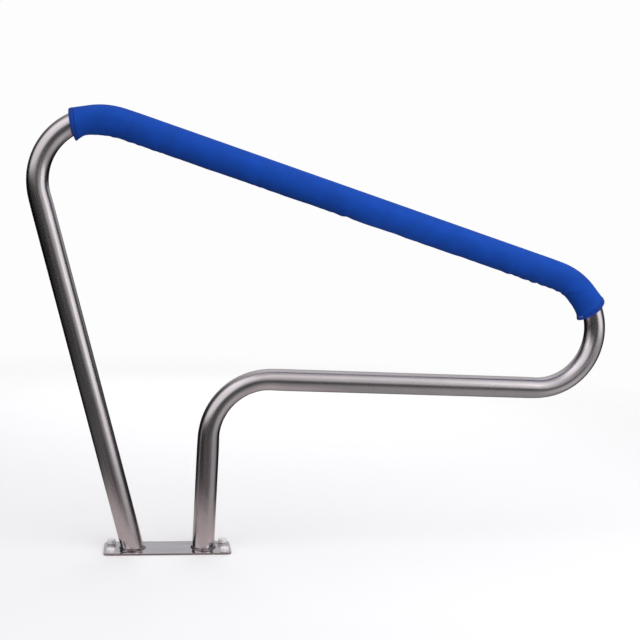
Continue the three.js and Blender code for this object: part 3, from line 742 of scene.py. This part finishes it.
def bend_folds():
    """Folds where the slack side of the cloth is gathered on the inside of each bend."""
    draw = random.Random(11)
    folds = []
    for first, last, spacing, depth in (
        (SLEEVE_FROM + 44 * MM, SLEEVE_FROM + 210 * MM, 27 * MM, 0.85),
        (SLEEVE_TO - 235 * MM, SLEEVE_TO - 28 * MM, 23 * MM, 1.15),
    ):
        at = first
        while at < last:
            depths = (0.55 * depth, 1.25 * depth)
            folds.append(draw_crease(draw, at, depths, (4.5, 8.5), (172, 205), (26, 48), (-0.35, 0.35)))
            at += spacing * draw.uniform(0.75, 1.3)
    return folds


def straight_creases():
    """Shallow creases that run part of the way round on the straight, from folding and from fitting."""
    draw = random.Random(5)
    length = SLEEVE_TO - SLEEVE_FROM
    creases = []
    for share in (0.08, 0.16, 0.34, 0.47, 0.63, 0.74, 0.86, 0.92):
        at = SLEEVE_FROM + share * length
        creases.append(draw_crease(draw, at, (0.45, 0.85), (5, 9), (190, 225), (35, 70), (-0.5, 0.5)))
    # A sharp crease across the front a third of the way along, and a sag below it halfway along.
    slant = 0.07 * MM
    creases.append(Crease(SLEEVE_FROM + 0.364 * length, -0.7 * MM, 3.2 * MM, 262, 40, slant))
    creases.append(Crease(SLEEVE_FROM + 0.492 * length, 1.7 * MM, 9.0 * MM, 192, 44, slant))
    return creases


CREASES = bend_folds() + straight_creases()


def rumple(s, angle, slack):
    """How far the cloth lies from its smooth section: hanging slack, folds, creases and unevenness."""
    # It hangs slack round the underside, and lies close beside the zip and near both ends.
    below = bell(angle, 190, 62)
    lips = 1 - bell(angle, ZIP_ANGLE, 26) - bell(angle, ZIP_ANGLE + 360, 26)
    ends = ramp(s, SLEEVE_FROM + 10 * MM, SLEEVE_FROM + 26 * MM) * ramp(SLEEVE_TO - s, 10 * MM, 26 * MM)
    hang = 1.1 * MM * unevenness(s, 0, 62 * MM, 2.0) + 0.5 * MM * unevenness(s, 0, 23 * MM, 5.0)
    lift = hang * below * slack
    for c in CREASES:
        along = (s - c.at - c.slant * (angle - 180)) / c.width
        shape = bell(along, 0, 1) - 0.75 * bell(along, 1.5, 0.9)
        lift = lift + c.depth * shape * bell(angle, c.centre, c.spread) * slack
    lift = lift + 0.22 * MM * unevenness(s, angle * AROUND, 30 * MM, 8.0) * (0.4 + below)
    return lift * np.clip(lips, 0, 1) * ends


def end_skew(s, angle):
    """Each end is pulled askew: shorter over the outer side of its bend, longer inside."""
    outer = np.cos(angle * DEG)
    upper = (9.6 * outer - 3.1) * MM * ramp(SLEEVE_FROM + 60 * MM - s, 0, 60 * MM)
    nose = (4.3 - 12.9 * outer) * MM * ramp(s, SLEEVE_TO - 90 * MM, SLEEVE_TO)
    return upper + nose


def egg_section(angle, lift, top, side, bottom):
    """Across and outward from the tube's middle, round an egg-shaped section with a lift above it."""
    up, rear = np.cos(angle * DEG), np.sin(angle * DEG)
    drop = np.where(up > 0, top, bottom)
    across, outward = rear / side, up / drop
    size = np.hypot(across, outward)
    return side * rear + lift * across / size, drop * up + lift * outward / size


def on_sleeve(s, angle, lift, slack):
    """Points of the sleeve: s along the rail, angle round it, and a lift above its face."""
    s, angle, lift = np.broadcast_arrays(s, angle, lift)
    section = egg_section(angle, lift + rumple(s, angle, slack), *drawn_in(s))
    return on_rail(s + end_skew(s, angle), *section)


def folded_loop(angles, outer, inner):
    """A loop of (angle, lift) round a strip of cloth, with round folded edges."""
    middle, half = (outer + inner) / 2, (outer - inner) / 2
    fold = half / AROUND
    turns = [75 * DEG, 45 * DEG, 15 * DEG]
    first, last = angles[0] + fold, angles[-1] - fold
    start = [(first - fold * math.sin(t), middle + half * math.cos(t)) for t in turns]
    end = [(last + fold * math.sin(t), middle + half * math.cos(t)) for t in reversed(turns)]
    face = start + [(a, outer) for a in angles if first < a < last] + end
    return face + [(a, 2 * middle - lift) for a, lift in reversed(face)]


def rounded_rows(start, end, step, edge):
    """Rows of (distance, fullness) from start to end, thinning over the last edge of cloth at both ends."""
    length = end - start - 2 * edge
    count = max(2, round(length / step))
    inside = [(start + edge + length * i / count, 1.0) for i in range(count + 1)]
    turns = [10 * DEG, 40 * DEG, 65 * DEG]
    first = [(start + edge * (1 - math.cos(t)), math.sin(t)) for t in turns]
    last = [(start + end - s, full) for s, full in reversed(first)]
    return first + inside + last


def cloth_mesh(name, loop, rows, place):
    """A closed body of cloth: a loop carried along rows of (distance, fullness), its ends closed."""
    angle, lift = np.array(loop).T
    s, full = np.array(rows).T[:, :, None]
    middle = (lift.max() + lift.min()) / 2
    lifts = middle + (lift - middle) * full
    columns = len(loop)
    faces = grid_faces(len(rows), columns)
    for base in (0, (len(rows) - 1) * columns):
        for i in range(columns // 2 - 1):
            faces.append([base + i, base + i + 1, base + columns - 2 - i, base + columns - 1 - i])
    return mesh_of(name, place(s, angle, lifts), faces, points_of(s, angle * AROUND, lifts), sharp=70)


def sleeve_angles():
    """Angles round the sleeve from lip to lip, closer together beside the lips."""
    first, last = LIP_ANGLES
    beside, near, far = 12, 1.5, 4.6
    start = list(np.arange(first, first + beside, near))
    end = list(np.arange(last, last - beside, -near))[::-1]
    count = round((last - first - 2 * beside) / far)
    return start + list(np.linspace(first + beside, last - beside, count)) + end


def lip_groove(angle):
    """The stitching draws the cloth in beside the zip."""
    return -LIP_GROOVE * sum(bell(angle, stitch, 1.6) for stitch in STITCH_ANGLES)


def stitched(name, rows, pitch, thread):
    """Stitches along rows of (length, place): place gives points from distances along and lifts."""
    # Each stitch rises out of the cloth, lies on it, and goes back in.
    share = np.array([0, 0.2, 0.5, 0.8, 1.0])
    rise = np.array([-0.28, 0.12, 0.3, 0.12, -0.28]) * MM
    radius = THREAD_RADIUS * np.array([0.6, 1.0, 1.05, 1.0, 0.6])
    points, faces, count = [], [], 0
    for length, place in rows:
        where = np.arange(pitch / 2, length - pitch, pitch)[:, None] + share * pitch * 0.8
        centres = place(where, rise)
        made, sides = wire(centres, radius, place(where, rise + 1 * MM) - centres)
        points.append(made.reshape(-1, 3))
        faces += [[v + count for v in face] for face in sides]
        count += len(points[-1])
    mesh = mesh_of(name, np.vstack(points), faces, sharp=80)
    return show(name, mesh, "rail", thread)


def make_sleeve(looks):
    slack = looks.sleeve_slack
    body_cloth = jersey_faced_neoprene("neoprene_jersey_faced", looks.sleeve_blue, linear("#1446A4"))
    hem_cloth = jersey_faced_neoprene("neoprene_jersey_hem", looks.hem_blue, linear("#143A8C"))
    thread = twisted_polyester_thread(looks.thread_blue)
    inside = HEM_WIDTH + HEM_GAP
    angles = sleeve_angles()

    def body_place(s, angle, lift):
        face = ramp(lift, -SLEEVE_THICKNESS, 0)
        return on_sleeve(s, angle, lift + lip_groove(angle) * face, slack)

    def hem_place(s, angle, lift):
        edge = np.minimum(s - SLEEVE_FROM, SLEEVE_TO - s)
        sunk = HEM_GROOVE * sum(bell(edge, row, 0.7 * MM) for row in HEM_STITCHES)
        face = ramp(lift, -SLEEVE_THICKNESS, 0)
        return on_sleeve(s, angle, lift + (lip_groove(angle) - sunk) * face, slack)

    def hem_row(at):
        """A row of stitches round a hem, from just past one lip to just before the other."""
        first, last = LIP_ANGLES[0] + 3, LIP_ANGLES[1] - 3

        def place(where, rise):
            return hem_place(at, first + where / AROUND, rise + HEM_RAISED)

        return (last - first) * AROUND, place

    def lip_row(angle):
        """A row of stitches along a lip, from hem to hem."""
        start, end = SLEEVE_FROM + inside + 1 * MM, SLEEVE_TO - inside - 1 * MM
        return end - start, lambda where, rise: body_place(start + where, angle, rise)

    loop = folded_loop(angles, 0.0, -SLEEVE_THICKNESS)
    rows = rounded_rows(SLEEVE_FROM + inside, SLEEVE_TO - inside, 2.6 * MM, 0.6 * MM)
    mesh = cloth_mesh("sleeve_cloth", loop, rows, body_place)
    sleeve = show("sleeve_cloth", mesh, "rail", body_cloth, ["grip_sleeve"])

    loop = folded_loop(angles, HEM_RAISED, -SLEEVE_THICKNESS)
    trims = []
    for place, edge, inward in (("upper", SLEEVE_FROM, 1), ("nose", SLEEVE_TO, -1)):
        start, end = sorted((edge, edge + inward * HEM_WIDTH))
        rows = rounded_rows(start, end, 0.55 * MM, 1.6 * MM)
        mesh = cloth_mesh(f"{place}_hem_cloth", loop, rows, hem_place)
        trims.append(show(f"{place}_hem_cloth", mesh, "rail", hem_cloth, [f"{place}_hem"]))
        rows = [hem_row(edge + inward * row) for row in HEM_STITCHES]
        trims.append(stitched(f"{place}_hem_stitches", rows, looks.stitch_length, thread))
    rows = [lip_row(angle) for angle in STITCH_ANGLES]
    trims.append(stitched("zip_seam_stitches", rows, looks.stitch_length, thread))
    return sleeve, trims


# ---- Zip -------------------------------------------------------------------------------------

def zip_section(angle, lift):
    """Across and outward from the tube's middle on the plain section that the zip follows."""
    return egg_section(angle, lift, ZIP_TOP, SLEEVE_SIDE, ZIP_BOTTOM)


ZIP_MIDDLE = np.array(zip_section(ZIP_ANGLE, -TAPE_DEPTH))
ZIP_OUT = (np.array(zip_section(ZIP_ANGLE, 0)) - ZIP_MIDDLE) / TAPE_DEPTH
ZIP_ACROSS = np.array([ZIP_OUT[1], -ZIP_OUT[0]])


def on_zip(s, across, out):
    """Points on the zip: across its middle towards the lower tape, out from the tapes' faces."""
    return on_rail(s, *(ZIP_MIDDLE[i] + ZIP_ACROSS[i] * across + ZIP_OUT[i] * out for i in (0, 1)))


def zip_tape(side):
    """One tape, woven, lying under the sleeve's lips."""
    edges = sorted((ZIP_ANGLE + side * 1.8, ZIP_ANGLE + side * TAPE_WIDTH))
    loop = folded_loop(list(np.linspace(*edges, 10)), -TAPE_DEPTH, -TAPE_DEPTH - TAPE_THICKNESS)
    rows = rounded_rows(ZIP_FROM, SLEEVE_TO - 1 * MM, 4 * MM, 0.3 * MM)
    return cloth_mesh("zip_tape", loop, rows, lambda s, angle, lift: on_rail(s, *zip_section(angle, lift)))


def zip_coil(side):
    """One side's coil: a flattened helix whose turns reach between the other side's."""
    start, end = ZIP_FROM + 12 * MM, SLEEVE_TO - 11 * MM
    turns, steps = int((end - start) / COIL_PITCH), 10
    t = np.arange(turns * steps + 1) / steps
    s = start + t * COIL_PITCH
    phase = 2 * math.pi * t + (math.pi if side < 0 else 0)
    # The turns interlock up to where the slider's divider can come, and part further past it.
    parted = SLIDER_AT - SLIDER_RUN
    inner = (COIL_OVERLAP + COIL_PARTED) * ramp(s, parted - 12 * MM, parted - 4 * MM) - COIL_OVERLAP
    inner = inner + 0.25 * MM * ramp(s, SLIDER_AT - 6 * MM, SLIDER_AT + 2 * MM)
    middle, half = (COIL_REACH + inner) / 2, (COIL_REACH - inner) / 2 - COIL_WIRE
    across = side * (middle - half * np.cos(phase))
    out = COIL_LIFT + COIL_HALF_DEPTH * np.sin(phase)
    _, _, heading = line.at(s)
    along = points_of(np.cos(heading), 0, np.sin(heading))
    points, faces = wire(on_zip(s, across, out)[None], COIL_WIRE, along[None])
    return mesh_of("zip_coil", points, faces, sharp=80)


def make_zip():
    tape, coil, metal = woven_polyester_tape(), extruded_nylon_coil(), nickel_plated_zinc()
    trims = []
    for place, side in (("upper", -1), ("lower", 1)):
        stop = softened(f"{place}_top_stop", f"zip_top_stop_{place}", 0.25 * MM)
        trims += [
            show(f"{place}_zip_tape", zip_tape(side), "rail", tape, [f"zip_tape_{place}"]),
            show(f"{place}_zip_coil", zip_coil(side), "rail", coil, [f"zip_coil_{place}"]),
            show(f"{place}_top_stop", stop, "rail", metal, [f"zip_top_stop_{place}"]),
        ]
    for name, node, body, edge in (
        ("retainer_box", "zip_retainer_box", "rail", 0.45 * MM),
        ("insertion_pin", "zip_insertion_pin", "rail", 0.2 * MM),
        ("slider_body", "zip_slider", "zip_slider", 0.35 * MM),
        ("pull_tab", "zip_pull_tab", "zip_pull_tab", 0.25 * MM),
    ):
        piece = show(name, softened(name, node, edge, 3), body, metal, [node])
        if body == "rail":
            trims.append(piece)
    return trims


# ---- Fixings, in millimetres -----------------------------------------------------------------

SCREW_LENGTH = 60
SCREW_THREAD = 36
SCREW_PITCH = 3.6
SCREW_CORE = 2.8
SCREW_CREST = 4.0
SCREW_SHANK = 3.7
SCREW_POINT = 9
SCREW_RUNOUT = 3  # the thread fades into the shank over this length
HEAD_ACROSS = 13
HEAD_HEIGHT = 5.3

ANCHOR_LENGTH = 62
ANCHOR_COLLAR = 16
ANCHOR_RADIUS = 5.4
ANCHOR_ROOT = 5.35  # radius between the ribs, next to the collar
ANCHOR_TAPER = 0.5
ANCHOR_RIB = 0.6
ANCHOR_BORE = 4.35
ANCHOR_SLOT = 1.2
ANCHOR_RIBS = 11

CAP_ACROSS = 18
CAP_HEIGHT = 9
CAP_WALL = 1.6
CAP_CHAMFER = 1.5


def hexagonal(angle, across, corner):
    """Radius of a hexagon across its flats, at each angle, with its corners rounded off."""
    from_flat = (angle + 30 * DEG) % (60 * DEG) - 30 * DEG
    sharp = across / 2 / np.cos(from_flat)
    tip = across / math.sqrt(3)
    soften = corner * (1 / math.cos(30 * DEG) - 1)
    past = sharp - tip + 2.5 * soften
    return np.where(past > 0, sharp - past**2 / (6 * soften), sharp)


def lag_screw_mesh():
    """A lag screw hanging from the underside of its hexagon head: point, rolled thread, shank, head."""
    angle = angles_round(48)
    rings = [(0, -SCREW_LENGTH)]
    steps = round(SCREW_THREAD / SCREW_PITCH * 10)
    for i in range(1, steps + 1):
        up = SCREW_THREAD * i / steps
        climb = up / SCREW_PITCH - angle / (2 * math.pi)
        ridge = np.clip(1 - np.abs((climb % 1) - 0.5) * 3.6, 0, 1) ** 0.8
        point = min(1.0, up / SCREW_POINT)
        runout = ramp(SCREW_THREAD - up, 0, SCREW_RUNOUT)
        body = SCREW_CORE * point + (SCREW_SHANK - SCREW_CORE) * (1 - runout)
        rings.append((body + (SCREW_CREST - SCREW_CORE) * ridge * point**0.6 * runout, up - SCREW_LENGTH))
    head = hexagonal(angle, HEAD_ACROSS, 1)
    face = HEAD_ACROSS / 2 - 0.25
    dome = HEAD_HEIGHT - np.maximum(head - face, 0) * math.tan(30 * DEG)
    rings += [(SCREW_SHANK, -1.2), (SCREW_SHANK + 0.4, -0.1), (face - 0.6, 0)]
    rings += [(head - 0.25, 0), (head, 0.25), (head, dome - 0.25), (head - 0.2, dome)]
    rings += [(face * 0.92, HEAD_HEIGHT), (face * 0.6, HEAD_HEIGHT - 0.15), (0, HEAD_HEIGHT - 0.2)]
    return turned("lag_screw", rings, angle, sharp=32)


def anchor_mesh():
    """An anchor hanging from its mouth: a plain collar, a herringbone-ribbed body, and two crossed slots."""
    angle = angles_round(64)
    length, steps = ANCHOR_LENGTH - ANCHOR_COLLAR, 88
    rings = [(ANCHOR_RADIUS - 0.3, 0), (ANCHOR_RADIUS, -0.4), (ANCHOR_RADIUS, 1 - ANCHOR_COLLAR)]
    for i in range(steps + 1):
        down = length * i / steps
        slant = 0.32 * np.abs(((angle * 4 / math.pi) % 2) - 1)  # four V shapes round the body
        wave = (down / length * ANCHOR_RIBS + slant) % 1
        tooth = np.where(wave < 0.7, wave / 0.7, (1 - wave) / 0.3)
        ends = ramp(down, 0, 3) * ramp(length - down, 0, 3)
        root = ANCHOR_ROOT - ANCHOR_TAPER * down / length
        rings.append((root + ANCHOR_RIB * tooth * ends, -ANCHOR_COLLAR - down))
    rings += [(ANCHOR_BORE + 0.3, -ANCHOR_LENGTH), (ANCHOR_BORE, 0.3 - ANCHOR_LENGTH)]
    rings += [(ANCHOR_BORE, -0.4), (ANCHOR_BORE + 0.3, 0)]
    faces = grid_faces(len(rings), len(angle), closed_rows=True)
    holder = add_object("anchor", mesh_of("anchor", ring_points(rings, angle), faces, sharp=30))
    tall = ANCHOR_LENGTH - ANCHOR_COLLAR * 0.6 + 2
    slot = Matrix.Translation((0, 0, tall / 2 - ANCHOR_LENGTH - 2))
    slot = slot @ Matrix.Diagonal((20, ANCHOR_SLOT, tall, 1))
    cutters = []
    for turn in (0, 90 * DEG):
        cutter = bpy.data.meshes.new("slot")
        block = bmesh.new()
        bmesh.ops.create_cube(block, size=1)
        block.to_mesh(cutter)
        block.free()
        cutter.transform(Matrix.Scale(MM, 4) @ Matrix.Rotation(turn, 4, "Z") @ slot)
        cut = holder.modifiers.new("slot", "BOOLEAN")
        cut.operation = "DIFFERENCE"
        cut.solver = "EXACT"
        cut.object = add_object("slot", cutter)
        cutters.append(cut.object)
    mesh = final_mesh(holder, *cutters)
    mesh.shade_smooth()
    mesh.set_sharp_from_angle(angle=30 * DEG)
    return mesh


def cap_mesh():
    """A hexagonal push-on cap: a chamfered crown, rounded edges, and a hexagonal pocket below."""
    angle = angles_round(96)
    outer = hexagonal(angle, CAP_ACROSS, 1.4)
    pocket = hexagonal(angle, HEAD_ACROSS + 0.6, 0.5)
    top, roof = CAP_HEIGHT, CAP_HEIGHT - CAP_WALL
    crown, shoulder = outer - CAP_CHAMFER, CAP_HEIGHT - CAP_CHAMFER
    rings = [(0, top), (outer * 0.35, top), (outer * 0.7, top - 0.02), (crown - 0.5, top - 0.06)]
    rings += [(crown, top - 0.2), (crown + 0.35, top - 0.5), (outer - 0.35, shoulder)]
    rings += [(outer - 0.1, shoulder - 0.3), (outer, shoulder - 0.7)]
    rings += [(outer, 0.35), (outer - 0.1, 0.1), (outer - 0.35, 0)]
    rings += [(pocket + 0.4, 0), (pocket, 0.4), (pocket, roof - 0.5)]
    rings += [(pocket - 0.15, roof - 0.15), (pocket - 0.5, roof), (pocket * 0.4, roof), (0, roof)]
    return turned("screw_cap", rings, angle, sharp=40)


def make_fixings(looks):
    seated = PLATE_HIGH.z + SEAT
    plastic = moulded_polyethylene(looks.cap_white)
    sets = (
        ("lag_screw", "threaded_screw", lag_screw_mesh(), "screw_steel", thread_rolled_stainless(), seated),
        ("anchor", "ribbed_anchor", anchor_mesh(), "blue_zinc", blue_passivated_steel(), ANCHOR_MOUTH),
        ("screw_cap", "moulded_cap", cap_mesh(), "white_plastic", plastic, seated),
    )
    for node, name, mesh, slot, material, height in sets:
        for i, (x, y) in enumerate(FIXINGS, 1):
            placed = mesh.copy()
            placed.transform(Matrix.Translation((x, y, height)))
            body = f"cap_{i}" if node == "screw_cap" else "rail"
            show(f"{name}_{i}", placed, body, material, [f"{node}_{i}"])


# ---- Studio ----------------------------------------------------------------------------------

CAMERA_AT = Vector((-59.75, -2432.0, 750.5)) * MM
CAMERA_YAW = 8.89 * DEG  # towards +X
CAMERA_PITCH = 5.49 * DEG  # downwards
CAMERA_ROLL = 2.11 * DEG
CAMERA_LENS = 63.17  # millimetres, on a 36 mm sensor

RAIL_MIDDLE = (0.3, 0, 0.6)
NOSE = (0.87, 0, 0.55)
# Where each light stands, what it faces, its width and height, and whether the steel mirrors it.
LIGHTS = (
    ("overhead_softbox", "overhead_power", (0.75, -0.5, 2.5), RAIL_MIDDLE, (2.6, 1.6), False),
    ("front_softbox", "front_power", (0.9, -2.5, 1.3), RAIL_MIDDLE, (2.2, 1.6), False),
    ("right_softbox", "right_power", (2.3, -1.3, 1.2), RAIL_MIDDLE, (2.2, 1.9), True),
    ("nose_card", "card_power", (0.36, -0.03, 0.57), NOSE, (0.55, 0.24), True),
    ("rear_softbox", "rear_power", (0.4, 2.5, 1.5), RAIL_MIDDLE, (2.4, 1.5), False),
)
# The bright parts of the room that the steel mirrors: their direction, the angles from it at which
# they start and finish fading, and how bright they are. The walls stop at a dark skirting.
WALLS = (
    ("left_wall", (-0.75, -0.55, 0.42), 26, 52, 1.15),
    ("back_wall", (0.3, 1.0, 0.4), 22, 62, 0.62),
)
ROOM = (
    ("right_floor", (0.85, -0.35, -0.42), 12, 40, 0.42),
    ("front_upper", (0.45, -0.75, 0.52), 17, 42, 0.7),
    ("ceiling", (0.0, -0.1, 1.0), 15, 60, 0.6),
    ("front_wall", (0.1, -1.0, 0.0), 10, 60, 0.05),
    ("floor", (0.0, -0.1, -1.0), 25, 75, 0.42),
    ("room", (0.0, 0.0, 1.0), 180, 181, 0.015),
)


def make_camera():
    camera = bpy.data.cameras.new("camera")
    camera.lens = CAMERA_LENS
    turn = Matrix.Rotation(-CAMERA_YAW, 4, "Z") @ Matrix.Rotation(90 * DEG - CAMERA_PITCH, 4, "X")
    holder = add_object("camera", camera)
    holder.matrix_world = Matrix.Translation(CAMERA_AT) @ turn @ Matrix.Rotation(CAMERA_ROLL, 4, "Z")
    bpy.context.scene.camera = holder


def make_light(name, power, at, aim, size, mirrored):
    """A rectangular light that the camera never sees, and that the steel mirrors or doesn't."""
    light = bpy.data.lights.new(name, "AREA")
    light.shape = "RECTANGLE"
    light.size, light.size_y = size
    light.energy = power
    holder = add_object(name, light)
    holder.location = at
    holder.rotation_mode = "QUATERNION"
    holder.rotation_quaternion = (Vector(aim) - Vector(at)).to_track_quat("-Z", "Y")
    holder.visible_camera = False
    holder.visible_glossy = mirrored


def make_world(studio):
    """A room that is plain and pale to the camera, with bright and dark parts for the steel to mirror."""
    world = bpy.data.worlds.new("studio")
    bpy.context.scene.world = world
    world.use_nodes = True
    add = partial(add_node, world.node_tree)
    way = add("TexCoord", output="Generated")

    def brightness(parts):
        """The parts' light added up, each one fading between two angles from its direction."""
        total = None
        for name, towards, full, none, bright in parts:
            facing = add(
                "VectorMath", {0: way, 1: Vector(towards).normalized()}, operation="DOT_PRODUCT", label=name
            )
            fade = span(math.cos(none * DEG), math.cos(full * DEG), 0.0, bright)
            light = add("MapRange", {"Value": facing, **fade}, interpolation_type="SMOOTHSTEP")
            total = add("Math", {0: total, 1: light}) if total else light
        return total

    height = add("SeparateXYZ", {"Vector": way}, "Z")
    skirting = add("MapRange", {"Value": height, **span(0.02, 0.2)}, interpolation_type="SMOOTHSTEP")
    walls = add("Math", {0: brightness(WALLS), 1: skirting}, operation="MULTIPLY")
    lit = add("Math", {0: walls, 1: brightness(ROOM)})
    room = add("Background", {"Color": linear("#FDFBFF"), "Strength": lit})
    plain = add("Background", {"Color": studio.backdrop, "Strength": 1.0})
    mixed = add("MixShader", {0: add("LightPath", output="Is Camera Ray"), 1: room, 2: plain})
    set_inputs(world.node_tree.nodes["World Output"], {"Surface": mixed})


def paper(name, colour, glow, near, far):
    """A disc of matt paper on the floor that fades out with distance."""
    mesh = bpy.data.meshes.new(name)
    rim = angles_round(96)
    mesh.from_pydata(points_of(far * np.cos(rim), far * np.sin(rim), 0).tolist(), [], [list(range(96))])
    material, add, place = start_material(f"paper_matt_{name}")
    distance = add("VectorMath", {0: place}, operation="LENGTH")
    fade = add("MapRange", {"Value": distance, **span(near, far, 1.0, 0.0)}, interpolation_type="SMOOTHSTEP")
    mesh.materials.append(finished(material, {
        "Base Color": colour, "Roughness": 0.9, "Specular IOR Level": 0.1, "Alpha": fade,
        "Emission Color": colour, "Emission Strength": glow,
    }))
    disc = add_object(name, mesh)
    disc.visible_diffuse = False
    return disc


def make_floor(studio):
    """A wide pale floor for the eye, and a small sheet round the plate that only the steel mirrors."""
    floor = paper("studio_floor", studio.floor, studio.floor_glow, 1.3, 3.4)
    floor.visible_glossy = False
    sheet = paper("mirrored_sheet", studio.sheet, studio.sheet_glow, 0.2, 0.65)
    sheet.visible_camera = False
    sheet.visible_shadow = False


def make_studio(studio):
    make_camera()
    make_world(studio)
    make_floor(studio)
    for name, power, *setting in LIGHTS:
        make_light(name, getattr(studio, power), *setting)
    bpy.context.scene.view_settings.view_transform = "Standard"


# ---- Settings --------------------------------------------------------------------------------

def distance_setting(name, description, default):
    return bpy.props.FloatProperty(
        name=name, description=description, default=default, min=0, precision=5,
        unit="LENGTH", subtype="DISTANCE",
    )


def colour_setting(name, description, default):
    return bpy.props.FloatVectorProperty(
        name=name, description=description, default=linear(default), size=4, min=0, max=1, subtype="COLOR"
    )


def amount_setting(name, description, default, most, least=0):
    return bpy.props.FloatProperty(
        name=name, description=description, default=default, min=least, max=most, subtype="FACTOR"
    )


def power_setting(name, description, default):
    return bpy.props.FloatProperty(name=name, description=description, default=default, min=0, unit="POWER")


class HandrailLooks(bpy.types.PropertyGroup):
    steel: colour_setting("Tube steel", "Colour of the polished tube", "#D0CBCC")
    steel_roughness: amount_setting("Tube roughness", "How softly the tube reflects", 0.25, 1, 0.05)
    bend_flattening: amount_setting(
        "Bend flattening", "How much bending squashes the tube in its plane", 0.04, 0.1
    )
    plate_steel: colour_setting("Plate steel", "Colour of the mirror-polished plate", "#D0CED3")
    plate_edge: distance_setting("Plate edge", "Rounding of the plate's edges", 0.6 * MM)
    weld_size: distance_setting("Weld size", "Leg length of the fillet welds", 3.6 * MM)
    weld_ripple: distance_setting("Weld ripple", "Spacing of the ripples in the welds", 2.6 * MM)
    sleeve_blue: colour_setting("Sleeve blue", "Colour of the sleeve's cloth", "#144DB6")
    hem_blue: colour_setting("Hem blue", "Colour of the hems", "#1648AA")
    thread_blue: colour_setting("Thread blue", "Colour of the stitching", "#1D4DAE")
    sleeve_slack: amount_setting("Sleeve slack", "Depth of the sleeve's folds and sags", 1.0, 2)
    stitch_length: distance_setting("Stitch length", "Length of one stitch and its gap", 3.2 * MM)
    cap_white: colour_setting("Cap white", "Colour of the screw caps", "#EDEBEA")


class HandrailStudio(bpy.types.PropertyGroup):
    backdrop: colour_setting("Backdrop", "Plain colour behind the handrail", "#FDFDFD")
    floor: colour_setting("Floor", "Colour of the floor", "#E6E6E6")
    sheet: colour_setting("Sheet", "Colour of the sheet that the steel mirrors", "#E8DCDA")
    floor_glow: amount_setting("Floor glow", "Light added to the floor", 0.15, 2)
    sheet_glow: amount_setting("Sheet glow", "Light added to the sheet that the steel mirrors", 0.1, 2)
    overhead_power: power_setting("Overhead", "Power of the overhead softbox", 9)
    front_power: power_setting("Front", "Power of the front softbox", 22)
    right_power: power_setting("Right", "Power of the right softbox", 14)
    card_power: power_setting("Nose card", "Power returned by the white card beside the nose bend", 0.18)
    rear_power: power_setting("Rear", "Power of the rear softbox", 24)


# ---- Operators -------------------------------------------------------------------------------

class HANDRAIL_OT_studio(bpy.types.Operator):
    """Set up the floor, backdrop, lights and camera"""

    bl_idname = "handrail.studio"
    bl_label = "Studio"

    def execute(self, context):
        make_studio(context.scene.handrail_studio)
        return {"FINISHED"}


class HANDRAIL_OT_tube(bpy.types.Operator):
    """Make the bent and polished tube"""

    bl_idname = "handrail.tube"
    bl_label = "Bent tube"

    def execute(self, context):
        make_tube(context.scene.handrail_looks)
        return {"FINISHED"}


class HANDRAIL_OT_plate(bpy.types.Operator):
    """Make the mirror-polished base plate"""

    bl_idname = "handrail.plate"
    bl_label = "Base plate"

    def execute(self, context):
        make_plate(context.scene.handrail_looks)
        return {"FINISHED"}


class HANDRAIL_OT_welds(bpy.types.Operator):
    """Lay the weld beads round the legs"""

    bl_idname = "handrail.welds"
    bl_label = "Weld beads"

    def execute(self, context):
        make_welds(context.scene.handrail_looks)
        return {"FINISHED"}


class HANDRAIL_OT_sleeve(bpy.types.Operator):
    """Sew the grip sleeve with its hems, stitching and zip"""

    bl_idname = "handrail.sleeve"
    bl_label = "Grip sleeve and zip"

    def execute(self, context):
        looks = context.scene.handrail_looks
        sleeve, trims = make_sleeve(looks)
        trims += make_zip()
        return {"FINISHED"}


class HANDRAIL_OT_fixings(bpy.types.Operator):
    """Make the lag screws, anchors and screw caps"""

    bl_idname = "handrail.fixings"
    bl_label = "Screws, anchors and caps"

    def execute(self, context):
        make_fixings(context.scene.handrail_looks)
        return {"FINISHED"}


OPERATORS = (
    HANDRAIL_OT_studio,
    HANDRAIL_OT_tube,
    HANDRAIL_OT_plate,
    HANDRAIL_OT_welds,
    HANDRAIL_OT_sleeve,
    HANDRAIL_OT_fixings,
)


class HANDRAIL_PT_panel(bpy.types.Panel):
    """Lists the handrail's pieces and settings"""

    bl_idname = "HANDRAIL_PT_panel"
    bl_label = "Handrail"
    bl_space_type = "VIEW_3D"
    bl_region_type = "UI"
    bl_category = "Handrail"

    def draw(self, context):
        for operator in OPERATORS:
            self.layout.operator(operator.bl_idname)
        for group in (context.scene.handrail_looks, context.scene.handrail_studio):
            for name in group.bl_rna.properties.keys():
                if name not in ("name", "rna_type"):
                    self.layout.prop(group, name)


CLASSES = (HandrailLooks, HandrailStudio, *OPERATORS, HANDRAIL_PT_panel)


def register():
    for group in CLASSES:
        bpy.utils.register_class(group)
    bpy.types.Scene.handrail_looks = bpy.props.PointerProperty(type=HandrailLooks)
    bpy.types.Scene.handrail_studio = bpy.props.PointerProperty(type=HandrailStudio)


def unregister():
    del bpy.types.Scene.handrail_studio
    del bpy.types.Scene.handrail_looks
    for group in reversed(CLASSES):
        bpy.utils.unregister_class(group)


def main():
    register()
    bpy.ops.handrail.studio()
    bpy.ops.handrail.tube()
    bpy.ops.handrail.plate()
    bpy.ops.handrail.welds()
    bpy.ops.handrail.sleeve()
    bpy.ops.handrail.fixings()


if __name__ == "__main__":
    main()
